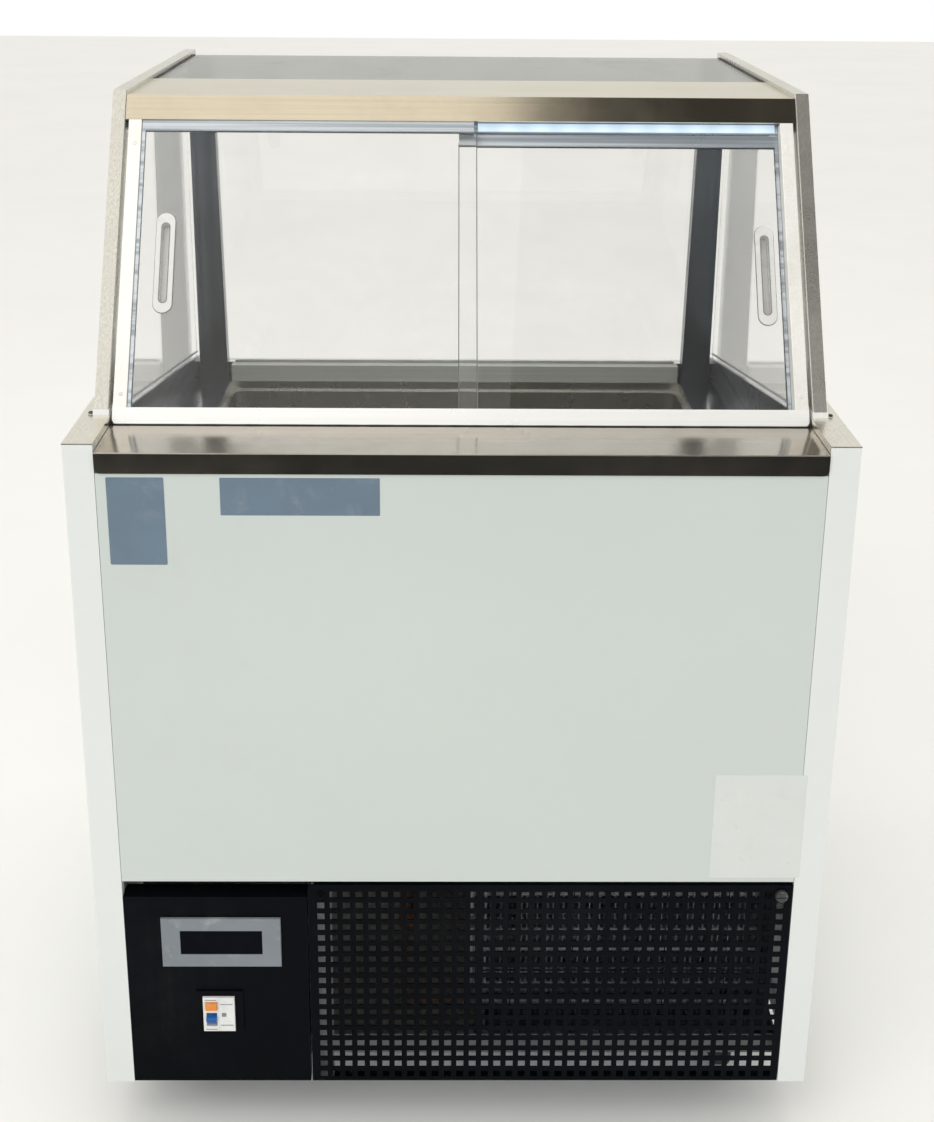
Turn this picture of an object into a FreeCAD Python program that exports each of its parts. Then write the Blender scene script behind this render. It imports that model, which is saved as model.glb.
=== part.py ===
import FreeCAD, Part
import math
import os

# A scoop-ice-cream chest freezer: an insulated cabinet on castors, an open well under a
# glazed hood with two sliding doors, and a machine compartment below.
#
# All sizes are in millimetres.  In the functions below x runs to the operator's right,
# y runs from the operator's face (y = 0) towards the customer, and z is the height above
# the floor.  save() moves every piece by -MIDDLE_Y, which puts the origin on the floor in
# the middle of the whole object's footprint.

V = FreeCAD.Vector

# ---- overall sizes
WIDTH = 800.0
BODY_DEPTH = 762.0
CLEARANCE = 75.0
CAP_Z = 850.0
RAIL_TOP = 1166.0
RAIL_END = 787.0
TOGGLE_PROUD = 8.5
MIDDLE_Y = (RAIL_END - TOGGLE_PROUD) / 2

SHEET = 1.2
HALF = WIDTH / 2
COLUMN = 31.0
INNER = HALF - COLUMN
GAP = 0.5

# ---- operator's face
PANEL_BOTTOM = 342.0
PANEL_TOP = 818.5
COUNTER_Z = 841.0
COUNTER_LIP = 22.0
COUNTER_PROUD = 2.0
SKIRT_BOTTOM = 76.5
GRILLE_TOP = 338.0
CONTROL_TOP = 322.5
CONTROL_RIGHT = -167.0
GRILLE_LEFT = -165.0

# ---- perforated panel
HOLE = 8.0
PITCH = 14.1
HOLE_COLUMNS = 37
HOLE_ROWS = 18
FIRST_HOLE_X = -151.7
FIRST_HOLE_Z = 325.5
GRILLE_HINGE_X = -161.0
GRILLE_HINGE_Y = 3.5
HINGE_PIN_R = 2.0
RUNNING = 0.05

# ---- well and deck
DECK_Z = 692.0
LINING_X = 379.0
LINING_NEAR = 116.0
WELL_X = 331.0
WELL_NEAR = 130.0
WELL_FAR = 722.0
WELL_FLOOR = 405.0
LEDGE_DEPTH = 13.0
LEDGE = 7.0
RIM_NEAR = 724.0
RIM_Z = 716.0

# ---- slope of the side walls' top edge, which falls towards the customer
SLOPE = 0.172
SLOPE_START_Y = 85.0
SLOPE_START_Z = CAP_Z - 12.0
CAP_FLAT = 150.0
CAP_DROP = 17.0
CAP_SKIRT = 20.0
CAP_INNER = 387.6

# ---- hood
LEAN = math.radians(31.5)
DOOR_FOOT_Y = 85.5
FRAME_OUT = 387.0
FRAME_IN = 371.5
FRAME_DEEP = 22.0
RAIL_TALL = 20.0
HOOD_GLASS = 5.0
TOP_GLASS_Z = 1160.0
TOP_GLASS_END = 765.0
STRIP_END = 446.0
FASCIA_LOW = 346.0
SILL_HIGH = 19.0
SILL_DEEP = 26.0
JAMB_OUT = 367.5
JAMB_IN = 353.0
POST_NEAR = 718.5
POST_DEEP = 23.5
CUSTOMER_GLASS_Y = 743.0

# ---- sliding doors: distance of each glass behind the front plane of the hood
DOOR_CLEAR = 0.5
OUTER_N = 3.5
INNER_N = 15.4
OUTER_RAIL_LOW = 333.8
INNER_RAIL_LOW = 322.4
DOOR_RAIL_TALL = 14.3
HEADER_OUTER_LOW = 349.3
HEADER_INNER_LOW = 345.0
TONGUE_THICK = 2.2
DOOR_EDGE = 3.6
OUTER_EDGE = 16.7
INNER_EDGE = -2.8
HANDLE_LONG = 113.0
HANDLE_WIDE = 20.0
HANDLE_SLOT_LONG = 90.0
HANDLE_SLOT_WIDE = 8.0
HANDLE_X = 330.0
OUTER_HANDLE_S = 180.0
INNER_HANDLE_S = 173.0

# ---- lamp strip in the header, above the inner door
LAMP_X0 = 13.0
LAMP_X1 = 352.5
LAMP_LOW = 337.6
LAMP_HIGH = 349.3
LAMP_N0 = 11.0
LAMP_N1 = 16.0

# ---- mains cable gland
INLET_X = 335.0
INLET_Z = 150.0
INLET_R = 4.5

# ---- castors
CASTOR_X = 325.0
CASTOR_NEAR = 100.0
CASTOR_FAR = 662.0
WHEEL_R = 30.0
WHEEL_WIDE = 22.0
TRAIL = 24.0
AXLE_R = 4.0
TRAY_Z = 100.0
KING_PIN_R = 5.0
PLATE_THICK = 4.0
BRAKE_PIVOT_Y = 5.0
BRAKE_PIVOT_Z = 74.5

# ---- machinery
COMPRESSOR_X = 60.0
COMPRESSOR_Y = 470.0
CONDENSER_NEAR = 62.0
CONDENSER_DEEP = 44.0
FAN_X = 190.0
FAN_Z = 214.0
FAN_R = 92.0
FAN_Y = CONDENSER_NEAR + CONDENSER_DEEP + 34

# ---- display and breaker
BREAKER_X0 = -286.0
BREAKER_X1 = -250.4
BREAKER_Z0 = 148.5
BREAKER_Z1 = 193.5
BREAKER_FRONT = -5.0
TOGGLE_X0 = -282.2
TOGGLE_X1 = -270.6
TOGGLE_Y = 3.0
TOGGLE_Z = 164.5
BUTTON_X0 = -283.0
BUTTON_X1 = -270.0
BUTTON_Z0 = 178.0
BUTTON_Z1 = 187.6
DISPLAY_X0 = -328.5
DISPLAY_X1 = -196.3
DISPLAY_Z0 = 233.8
DISPLAY_Z1 = 296.3
WINDOW_X0 = -307.7
WINDOW_X1 = -216.9
WINDOW_Z0 = 250.3
WINDOW_Z1 = 281.0


# ======================================================================= shape helpers

def block(x0, x1, y0, y1, z0, z1):
    """Box between two corners."""
    return Part.makeBox(x1 - x0, y1 - y0, z1 - z0, V(x0, y0, z0))


def rod(centre, direction, radius, length):
    """Cylinder from centre along direction."""
    return Part.makeCylinder(radius, length, V(*centre), V(*direction))


def loft_face(points):
    """Flat face through a closed list of points."""
    corners = [V(*p) for p in points]
    return Part.Face(Part.makePolygon(corners + corners[:1]))


def prism_x(points, x0, x1):
    """Outline of (y, z) points drawn out from x0 to x1."""
    return loft_face([(x0, y, z) for y, z in points]).extrude(V(x1 - x0, 0, 0))


def prism_y(points, y0, y1):
    """Outline of (x, z) points drawn out from y0 to y1."""
    return loft_face([(x, y0, z) for x, z in points]).extrude(V(0, y1 - y0, 0))


def prism_z(points, z0, z1):
    """Outline of (x, y) points drawn out from z0 to z1."""
    return loft_face([(x, y, z0) for x, y in points]).extrude(V(0, 0, z1 - z0))


def join(first, *others):
    """One solid out of touching pieces, with the seams between them removed."""
    return first.fuse(list(others)).removeSplitter()


def group(pieces):
    """Separate solids that share one node."""
    return Part.makeCompound(pieces)


def both_sides(shape):
    """The shape and its mirror image across the middle plane."""
    return [shape, shape.mirror(V(0, 0, 0), V(1, 0, 0))]


def upright_edges(shape):
    """Edges that run along z."""
    return [e for e in shape.Edges if abs(e.tangentAt(e.FirstParameter).z) > 0.999]


def rounded_block(x0, x1, y0, y1, z0, z1, radius):
    """Box with rounded upright corners."""
    box = block(x0, x1, y0, y1, z0, z1)
    return box.makeFillet(radius, upright_edges(box))


def softened(shape, radius, pick):
    """The shape with the chosen edges rounded."""
    return shape.makeFillet(radius, [e for e in shape.Edges if pick(e)])


def edge_middle(edge):
    """Point half-way along an edge."""
    return edge.valueAt((edge.FirstParameter + edge.LastParameter) / 2)


def runs_along(edge, axis):
    """True if a straight edge is parallel to x, y or z."""
    if not isinstance(edge.Curve, Part.Line):
        return False
    return abs(getattr(edge.tangentAt(edge.FirstParameter), axis)) > 0.999


def hood_point(s, n):
    """(y, z) of a point s up the hood's sloping front plane and n behind it."""
    y = DOOR_FOOT_Y + s * math.sin(LEAN) + n * math.cos(LEAN)
    z = COUNTER_Z + s * math.cos(LEAN) - n * math.sin(LEAN)
    return y, z


def hood_bar(x0, x1, corners):
    """Outline of (s, n) points in the hood's sloping frame, drawn out along x."""
    return prism_x([hood_point(s, n) for s, n in corners], x0, x1)


def hood_block(x0, x1, s0, s1, n0, n1):
    """Box that leans with the hood's front plane."""
    return hood_bar(x0, x1, [(s0, n0), (s1, n0), (s1, n1), (s0, n1)])


def hood_slot(x_middle, s_middle, long, wide, n0, n1):
    """Leaning bar with round ends: the shape of a handle's plate, cup or cut-out."""
    r = wide / 2
    half = long / 2 - r
    middle = hood_block(x_middle - r, x_middle + r, s_middle - half, s_middle + half, n0, n1)
    ends = []
    for end in (s_middle - half, s_middle + half):
        y, z = hood_point(end, n0)
        across = (0, math.cos(LEAN), -math.sin(LEAN))
        ends.append(rod((x_middle, y, z), across, r, n1 - n0))
    return join(middle, *ends)


def wall_top(y):
    """Height of the side wall's inner top edge at y."""
    return SLOPE_START_Z - SLOPE * (y - SLOPE_START_Y)


def save(name, shape):
    """Moves the piece into the object's own frame and writes it."""
    shape.translate(V(0, -MIDDLE_Y, 0))
    shape.exportStep("parts/" + name + ".step")


# ======================================================================= cabinet shell

def side_outline(inset):
    """(y, z) outline of a side panel, moved inwards by inset."""
    low = CLEARANCE + inset
    near = inset
    far = BODY_DEPTH - inset
    step = CAP_FLAT - inset
    top = CAP_Z - SHEET - inset
    drop = CAP_DROP + SHEET + GAP + inset
    return [
        (near, low), (far, low), (far, wall_top(far) - drop),
        (step, wall_top(step) - drop), (step, top), (near, top),
    ]


def side_panel():
    """Right-hand side panel: a painted skin folded in all round, 31 mm deep at both faces."""
    rim_in = CAP_INNER + GAP
    pan = prism_x(side_outline(0), rim_in, HALF)
    hollow = prism_x(side_outline(SHEET), rim_in - 1, HALF - SHEET)
    pan = pan.cut(hollow)
    customer_top = wall_top(BODY_DEPTH) - CAP_DROP - SHEET - GAP
    near = block(INNER, HALF - SHEET, 0, SHEET, CLEARANCE, CAP_Z - SHEET)
    far = block(INNER, HALF - SHEET, BODY_DEPTH - SHEET, BODY_DEPTH, CLEARANCE, customer_top)
    near_fold = block(INNER, INNER + SHEET, 0, 12, CLEARANCE, CAP_Z - CAP_SKIRT - GAP)
    panel = join(pan, near, far, near_fold)

    def outer_corner(edge):
        middle = edge_middle(edge)
        at_corner = abs(middle.x - HALF) < 0.01 and min(abs(middle.y), abs(middle.y - BODY_DEPTH)) < 0.01
        return at_corner and runs_along(edge, "z")

    return softened(panel, 1.0, outer_corner)


def side_cap():
    """Right-hand stainless capping: a flat shelf, a step and a bevelled strip down the slope."""
    outline = [
        (INNER, 0), (HALF, 0), (HALF, CAP_FLAT), (CAP_INNER, CAP_FLAT),
        (CAP_INNER, 110), (INNER, 110),
    ]
    shelf = prism_z(outline, CAP_Z - SHEET, CAP_Z)
    skirt = block(INNER, INNER + SHEET, SHEET + 0.2, 110, CAP_Z - CAP_SKIRT, CAP_Z)
    high = wall_top(CAP_FLAT)
    riser = prism_y(
        [(CAP_INNER, CAP_Z), (HALF, CAP_Z), (HALF, high - CAP_DROP - SHEET), (CAP_INNER, high - SHEET)],
        CAP_FLAT, CAP_FLAT + SHEET)
    section = [
        (CAP_INNER, CAP_FLAT, high), (HALF, CAP_FLAT, high - CAP_DROP),
        (HALF, CAP_FLAT, high - CAP_DROP - SHEET), (CAP_INNER, CAP_FLAT, high - SHEET),
    ]
    run = BODY_DEPTH - CAP_FLAT
    strip = loft_face(section).extrude(V(0, run, -SLOPE * run))
    return join(shelf, skirt, riser, strip)


def operator_panel():
    """White panel between the counter and the machine compartment."""
    side = INNER - GAP
    skin = block(-side, side, 0, SHEET, PANEL_BOTTOM, PANEL_TOP)
    top = block(-side, side, 0, 12, PANEL_TOP - SHEET, PANEL_TOP)
    foot = block(-side, side, 0, 14, PANEL_BOTTOM, PANEL_BOTTOM + SHEET)
    ends = [block(x, x + SHEET, 0, 12, PANEL_BOTTOM, PANEL_TOP) for x in (-side, side - SHEET)]
    panel = join(skin, top, foot, *ends)

    def lower_edge(edge):
        middle = edge_middle(edge)
        return abs(middle.y) < 0.01 and abs(middle.z - PANEL_BOTTOM) < 0.01 and runs_along(edge, "x")

    return softened(panel, 1.0, lower_edge)


def customer_panel():
    """White panel on the customer's side, folded under the front rim."""
    side = INNER - GAP
    far = BODY_DEPTH
    skin = block(-side, side, far - SHEET, far, PANEL_BOTTOM, RIM_Z - SHEET)
    top = block(-side, side, far - 14, far, RIM_Z - 2 * SHEET, RIM_Z - SHEET)
    foot = block(-side, side, far - 14, far, PANEL_BOTTOM, PANEL_BOTTOM + SHEET)
    ends = [block(x, x + SHEET, far - 12, far, PANEL_BOTTOM, RIM_Z - SHEET) for x in (-side, side - SHEET)]
    return join(skin, top, foot, *ends)


def customer_vent_panel():
    """Black panel below the customer's side, with rows of air slots."""
    side = INNER - GAP
    far = BODY_DEPTH
    top = PANEL_BOTTOM - 3
    skin = block(-side, side, far - SHEET, far, SKIRT_BOTTOM, top)
    folds = [
        block(-side, side, far - 15, far, SKIRT_BOTTOM, SKIRT_BOTTOM + SHEET),
        block(-side, side, far - 15, far, top - SHEET, top),
    ]
    panel = join(skin, *folds)
    slots = []
    for row in range(9):
        z = 120 + 22 * row
        for column in range(6):
            x = -300 + 105 * column
            slots.append(block(x, x + 75, far - 3, far + 3, z, z + 7))
    gland = rod((INLET_X, far - 5, INLET_Z), (0, 1, 0), 8.4, 10)
    return panel.cut(slots + [gland])


def counter_tray():
    """Stainless counter with a rounded front lip."""
    side = INNER - GAP
    front = -COUNTER_PROUD
    low = COUNTER_Z - COUNTER_LIP
    profile = [
        (front, low), (front, COUNTER_Z), (LINING_NEAR + SHEET, COUNTER_Z),
        (LINING_NEAR + SHEET, COUNTER_Z - SHEET), (front + SHEET, COUNTER_Z - SHEET), (front + SHEET, low),
    ]
    tray = prism_x(profile, -side, side)

    def front_edge(edge):
        middle = edge_middle(edge)
        return abs(middle.y - front) < 0.01 and abs(middle.z - COUNTER_Z) < 0.01 and runs_along(edge, "x")

    def lip_corner(edge):
        middle = edge_middle(edge)
        return abs(middle.z - low) < 0.01 and abs(abs(middle.x) - side) < 0.01 and runs_along(edge, "y")

    tray = softened(tray, 6.0, lip_corner)
    return softened(tray, 1.15, front_edge)


# ======================================================================= chassis

def base_frame():
    """Steel tray that carries the machinery, with its edges turned up."""
    side = INNER - GAP
    near = 18
    far = BODY_DEPTH - 18
    plate = block(-side, side, near, far, TRAY_Z, TRAY_Z + 2)
    high = TRAY_Z + 25
    edges = [
        block(-side, side, near, near + 2, TRAY_Z, high),
        block(-side, side, far - 2, far, TRAY_Z, high),
        block(-side, -side + 2, near, far, TRAY_Z, high),
        block(side - 2, side, near, far, TRAY_Z, high),
    ]
    return join(plate, *edges)


def castor_places():
    """Name and position of each castor's swivel axis."""
    return [
        ("operator_left", -CASTOR_X, CASTOR_NEAR), ("operator_right", CASTOR_X, CASTOR_NEAR),
        ("customer_left", -CASTOR_X, CASTOR_FAR), ("customer_right", CASTOR_X, CASTOR_FAR),
    ]


def castor_plates():
    """Four top plates, each with a king pin and four bolt heads."""
    plates = []
    for name, x, y in castor_places():
        plate = rounded_block(x - 42, x + 42, y - 36, y + 36, TRAY_Z - PLATE_THICK, TRAY_Z, 6)
        pin = rod((x, y, TRAY_Z - PLATE_THICK), (0, 0, -1), KING_PIN_R, 15)
        head = rod((x, y, TRAY_Z - PLATE_THICK - 15), (0, 0, -1), 8.0, 3)
        plate = join(plate, pin, head)
        for dx in (-32, 32):
            for dy in (-26, 26):
                bolt = rod((x + dx, y + dy, TRAY_Z - PLATE_THICK), (0, 0, -1), 5.5, 4)
                plate = join(plate, bolt)
        plates.append(plate)
    return group(plates)


def castor_fork(x, y):
    """Pressed fork that swivels on the king pin and holds the axle."""
    crown_top = TRAY_Z - PLATE_THICK - 2
    crown = rod((x, y, crown_top), (0, 0, -1), 21, 11)
    bore = rod((x, y, crown_top + 1), (0, 0, -1), KING_PIN_R + RUNNING, 40)
    recess = rod((x, y, crown_top - 10), (0, 0, -1), 12, 10)
    cheek_in = WHEEL_WIDE / 2 + 2
    cheek_out = cheek_in + 2.5
    axle_y = y + TRAIL
    outline = [
        (y - 17, crown_top - 11), (y + 17, crown_top - 11), (axle_y + 9, WHEEL_R + 6),
        (axle_y + 9, WHEEL_R - 6), (axle_y - 9, WHEEL_R - 6), (axle_y - 11, WHEEL_R + 4),
    ]
    bridge = block(x - cheek_out, x + cheek_out, y - 17, y + 17, crown_top - 13.5, crown_top - 11)
    cheeks = [
        prism_x(outline, x + cheek_in, x + cheek_out),
        prism_x(outline, x - cheek_out, x - cheek_in),
    ]
    axle = rod((x - cheek_out - 2, axle_y, WHEEL_R), (1, 0, 0), AXLE_R, 2 * cheek_out + 4)
    nuts = [
        rod((x - cheek_out - 4, axle_y, WHEEL_R), (1, 0, 0), 7, 4),
        rod((x + cheek_out, axle_y, WHEEL_R), (1, 0, 0), 7, 4),
    ]
    fork = join(crown, bridge, *cheeks)
    fork = fork.cut([bore, recess])
    return join(fork, axle, *nuts)


def castor_wheel(x, y):
    """Wheel with a grooved hub and a rounded tread."""
    axle_y = y + TRAIL
    half = WHEEL_WIDE / 2
    tread = rod((x - half, axle_y, WHEEL_R), (1, 0, 0), WHEEL_R, WHEEL_WIDE)
    rims = [e for e in tread.Edges if isinstance(e.Curve, Part.Circle)]
    tread = tread.makeFillet(4.0, rims)
    dishes = []
    for face, way in ((x - half, 1), (x + half, -1)):
        ring = rod((face, axle_y, WHEEL_R), (way, 0, 0), 20, 4)
        hub = rod((face, axle_y, WHEEL_R), (way, 0, 0), 9, 4)
        dishes.append(ring.cut(hub))
    hole = rod((x - half - 1, axle_y, WHEEL_R), (1, 0, 0), AXLE_R + RUNNING, WHEEL_WIDE + 2)
    return tread.cut(dishes + [hole])


def castor_brake(x, y):
    """Foot lever that hangs over the wheel behind the crown."""
    pivot_y = y + BRAKE_PIVOT_Y + 17
    lever = [
        (pivot_y + 1, BRAKE_PIVOT_Z + 4), (pivot_y + 42, BRAKE_PIVOT_Z - 2),
        (pivot_y + 42, BRAKE_PIVOT_Z - 6), (pivot_y + 1, BRAKE_PIVOT_Z - 1),
    ]
    pad = prism_x(lever, x - 10, x + 10)
    barrel = rod((x - 10, pivot_y, BRAKE_PIVOT_Z), (1, 0, 0), 4.5, 20)
    bore = rod((x - 15, pivot_y, BRAKE_PIVOT_Z), (1, 0, 0), 2.5 + RUNNING, 30)
    return join(pad, barrel).cut(bore)


def brake_lugs(x, y):
    """Ears and pin on a fork, which carry its brake lever."""
    pivot_y = y + BRAKE_PIVOT_Y + 17
    lugs = []
    for x0 in (x - 13.5, x + 11):
        outline = [
            (y + 10, BRAKE_PIVOT_Z + 8), (pivot_y + 5, BRAKE_PIVOT_Z + 5), (pivot_y + 5, BRAKE_PIVOT_Z - 5),
            (y + 10, BRAKE_PIVOT_Z - 6),
        ]
        lugs.append(prism_x(outline, x0, x0 + 2.5))
    pin = rod((x - 13.5, pivot_y, BRAKE_PIVOT_Z), (1, 0, 0), 2.5, 27)
    return lugs + [pin]


# ======================================================================= well

def well_tank():
    """Stainless tank with a ledge for pans, a rounded floor and a drain spigot."""
    low_x = WELL_X - LEDGE
    low_near = WELL_NEAR + LEDGE
    low_far = WELL_FAR - LEDGE
    ledge_z = DECK_Z - LEDGE_DEPTH
    outside = join(
        block(-WELL_X - SHEET, WELL_X + SHEET, WELL_NEAR - SHEET, WELL_FAR + SHEET, ledge_z - SHEET, DECK_Z),
        rounded_block(-low_x - SHEET, low_x + SHEET, low_near - SHEET, low_far + SHEET,
                      WELL_FLOOR - SHEET, ledge_z, 16 + SHEET))
    upper = block(-WELL_X, WELL_X, WELL_NEAR, WELL_FAR, ledge_z, DECK_Z + 1)
    lower = rounded_block(-low_x, low_x, low_near, low_far, WELL_FLOOR, DECK_Z, 16)
    tank = outside.cut([upper, lower])
    drain_y = (low_near + low_far) / 2
    spigot = rod((0, drain_y, WELL_FLOOR - SHEET), (0, 0, -1), 12, 78)
    bore = rod((0, drain_y, WELL_FLOOR + 1), (0, 0, -1), 10, 82)
    return join(tank, spigot).cut(bore)


def deck_plate():
    """Mirror-finished deck round the mouth of the well."""
    plate = block(-LINING_X, LINING_X, LINING_NEAR + SHEET, RIM_NEAR, DECK_Z - SHEET, DECK_Z)
    side = WELL_X + SHEET
    mouth = block(-side, side, WELL_NEAR - SHEET, WELL_FAR + SHEET, DECK_Z - 5, DECK_Z + 5)
    return plate.cut(mouth)


def chamber_linings():
    """Linings of the display chamber: two side walls with a flange for the glass, and the near wall."""
    near = LINING_NEAR
    far = BODY_DEPTH - SHEET
    low = DECK_Z - SHEET
    near_top = wall_top(near)
    far_top = wall_top(far)
    side = prism_x([(near, low), (far, low), (far, far_top), (near, near_top)], LINING_X, LINING_X + SHEET)
    flange = prism_x(
        [(near, near_top - SHEET), (far, far_top - SHEET), (far, far_top), (near, near_top)],
        LINING_X + SHEET, CAP_INNER - 0.2)
    wall = block(-LINING_X, LINING_X, near, near + SHEET, low, COUNTER_Z - SHEET)
    return group(both_sides(join(side, flange)) + [wall])


def front_post():
    """Right-hand customer-side post, a little wider at the foot, on a thin foot plate."""
    top = TOP_GLASS_Z - HOOD_GLASS
    foot = DECK_Z + 1.5
    under_rail = RAIL_TOP - RAIL_TALL - GAP
    outline = [
        (333, foot), (374, foot), (374, under_rail), (FRAME_IN - GAP, under_rail),
        (FRAME_IN - GAP, top), (340, top),
    ]
    post = prism_y(outline, POST_NEAR, POST_NEAR + POST_DEEP)
    post = softened(post, 1.5, lambda e: abs(e.tangentAt(e.FirstParameter).z) > 0.99)
    plate = block(329, 378, POST_NEAR - 4, POST_NEAR + POST_DEEP, DECK_Z, foot)
    return join(post, plate)


def front_rim():
    """Upstand and rim at the customer's end of the deck, notched round the posts."""
    profile = [
        (RIM_NEAR, DECK_Z - SHEET), (RIM_NEAR, RIM_Z), (BODY_DEPTH + SHEET, RIM_Z),
        (BODY_DEPTH + SHEET, RIM_Z - 16), (BODY_DEPTH, RIM_Z - 16), (BODY_DEPTH, RIM_Z - SHEET),
        (RIM_NEAR + SHEET, RIM_Z - SHEET),
        (RIM_NEAR + SHEET, DECK_Z - SHEET),
    ]
    rim = prism_x(profile, -LINING_X, LINING_X)
    notch = block(329 - GAP, LINING_X + 1, 700, POST_NEAR + POST_DEEP + GAP, DECK_Z, RIM_Z + 5)
    return rim.cut(both_sides(notch))


def insulation():
    """Foam round the tank, between the linings and the painted panels."""
    out = HALF - SHEET - 0.4
    near = SHEET + 0.8
    far = BODY_DEPTH - SHEET - 0.8
    low = PANEL_BOTTOM + 3
    body = block(-out, out, near + 12, far - 13, low, DECK_Z - SHEET - 0.5)
    face = block(-INNER + 2, INNER - 2, near, far, low, DECK_Z - SHEET - 0.5)
    upper = block(-INNER + 2, INNER - 2, near + 12, LINING_NEAR - 0.5, DECK_Z - 5, PANEL_TOP - 4)
    margin = 0.8
    under = CAP_DROP + 5
    wing_outline = [(14, low), (far - 13, low), (far - 13, wall_top(far) - under), (14, wall_top(14) - under)]
    wing = prism_x(wing_outline, LINING_X + SHEET + margin, out)
    foam = join(body, face, upper, *both_sides(wing))
    cavity = block(-WELL_X - 14, WELL_X + 14, WELL_NEAR - 10, WELL_FAR + 12, WELL_FLOOR - 12, DECK_Z)
    drain = rod((0, (WELL_NEAR + WELL_FAR) / 2, WELL_FLOOR), (0, 0, -1), 12.5, 90)
    return foam.cut([cavity, drain])


def evaporator_coil():
    """Refrigerant tube wound round the tank in level rings, joined by short risers."""
    r = 3.5
    out_x = WELL_X - LEDGE + SHEET + r + 1
    near = WELL_NEAR + LEDGE - SHEET - r - 1
    far = WELL_FAR - LEDGE + SHEET + r + 1
    bend = 22
    heights = [440, 480, 520, 560, 600, 640]
    rings = []
    for z in heights:
        outer = rounded_block(-out_x - r, out_x + r, near - r, far + r, z - r, z + r, bend + r)
        inner = rounded_block(-out_x + r, out_x - r, near + r, far - r, z - r - 1, z + r + 1, bend - r)
        rings.append(outer.cut(inner))
    risers = []
    for step, z in enumerate(heights[:-1]):
        x = 60 if step % 2 else -60
        risers.append(block(x - r, x + r, near - r, near + r, z, z + 40))
    return join(rings[0], *(rings[1:] + risers))


# ======================================================================= machinery

def compressor():
    """Hermetic compressor: a domed shell on a foot plate with four rubber feet."""
    x = COMPRESSOR_X
    y = COMPRESSOR_Y
    floor = TRAY_Z + 2
    shell = rod((x, y, floor + 22), (0, 0, 1), 74, 150)
    rims = [e for e in shell.Edges if isinstance(e.Curve, Part.Circle)]
    shell = shell.makeFillet(34, rims)
    seam = rod((x, y, floor + 98), (0, 0, 1), 78, 6)
    foot = rounded_block(x - 105, x + 105, y - 78, y + 78, floor + 18, floor + 24, 18)
    cover = block(x - 100, x - 60, y - 32, y + 32, floor + 60, floor + 120)
    stubs = [rod((x + 40, y + dy, floor + 150), (0, 0, 1), 5, 32) for dy in (-45, 45)]
    feet = [rod((x + dx, y + dy, floor), (0, 0, 1), 13, 18) for dx in (-88, 88) for dy in (-60, 60)]
    return join(shell, seam, foot, cover, *(stubs + feet))


def condenser():
    """Fin-and-tube block behind the perforated panel, with bends at its ends."""
    near = CONDENSER_NEAR
    far = near + CONDENSER_DEEP
    low = TRAY_Z + 12
    top = 322
    ends = [block(x, x + 1.5, near, far, TRAY_Z + 2, top) for x in (32, 350)]
    fins = [block(32 + 6 * i, 32.6 + 6 * i, near + 2, far - 2, low, top - 4) for i in range(1, 53)]
    tubes = []
    for row in range(8):
        z = low + 14 + 25 * row
        for y in (near + 12, far - 12):
            tubes.append(rod((20, y, z), (1, 0, 0), 4, 341))
    bends = []
    for row in range(7):
        z = low + 14 + 25 * row
        x = 16 if row % 2 else 361
        for y in (near + 12, far - 12):
            bends.append(rounded_block(x - 4, x + 4, y - 4, y + 4, z - 4, z + 29, 3))
    return ends[0].fuse(ends[1:] + fins + tubes + bends)


def fan_shroud():
    """Sheet-metal shroud that leads the air from the condenser to the fan."""
    near = CONDENSER_NEAR + CONDENSER_DEEP
    far = FAN_Y + 14
    box = block(34, 349, near, far, TRAY_Z + 2, 320)
    hollow = block(34 + SHEET, 349 - SHEET, near - 1, far - SHEET, TRAY_Z + 2 + SHEET, 320 - SHEET)
    mouth = rod((FAN_X, near, FAN_Z), (0, 1, 0), FAN_R + 6, far - near + 5)
    ring = rod((FAN_X, far - 12, FAN_Z), (0, 1, 0), FAN_R + 6 + SHEET, 22)
    ring = ring.cut(rod((FAN_X, far - 13, FAN_Z), (0, 1, 0), FAN_R + 6, 24))
    return join(box.cut([hollow, mouth]), ring)


def condenser_fan():
    """Five pitched blades on a hub."""
    hub = rod((FAN_X, FAN_Y - 9, FAN_Z), (0, 1, 0), 24, 18)
    blade = Part.makeBox(FAN_R - 22, 2, 44, V(21, -1, -22))
    blade = blade.makeFillet(10, [e for e in blade.Edges if runs_along(e, "y")])
    blade.rotate(V(0, 0, 0), V(1, 0, 0), 24)
    pieces = [hub]
    for turn in range(5):
        one = blade.copy()
        one.rotate(V(0, 0, 0), V(0, 1, 0), 72 * turn)
        one.translate(V(FAN_X, FAN_Y, FAN_Z))
        pieces.append(one)
    fan = join(pieces[0], *pieces[1:])
    return fan.cut(rod((FAN_X, FAN_Y - 10, FAN_Z), (0, 1, 0), 4 + RUNNING, 20))


def fan_motor():
    """Motor, shaft and the wire bracket that holds it to the shroud."""
    far = FAN_Y + 14
    body = rod((FAN_X, FAN_Y + 16, FAN_Z), (0, 1, 0), 36, 52)
    rims = [e for e in body.Edges if isinstance(e.Curve, Part.Circle)]
    body = body.makeFillet(5, rims)
    shaft = rod((FAN_X, FAN_Y - 12, FAN_Z), (0, 1, 0), 4, 30)
    arms = []
    for turn in range(4):
        arm = Part.makeBox(FAN_R - 16, 3, 8, V(30, -1.5, -4))
        arm.rotate(V(0, 0, 0), V(0, 1, 0), 45 + 90 * turn)
        arm.translate(V(FAN_X, far + 11.5, FAN_Z))
        arms.append(arm)
    return join(body, shaft, *arms)


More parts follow.
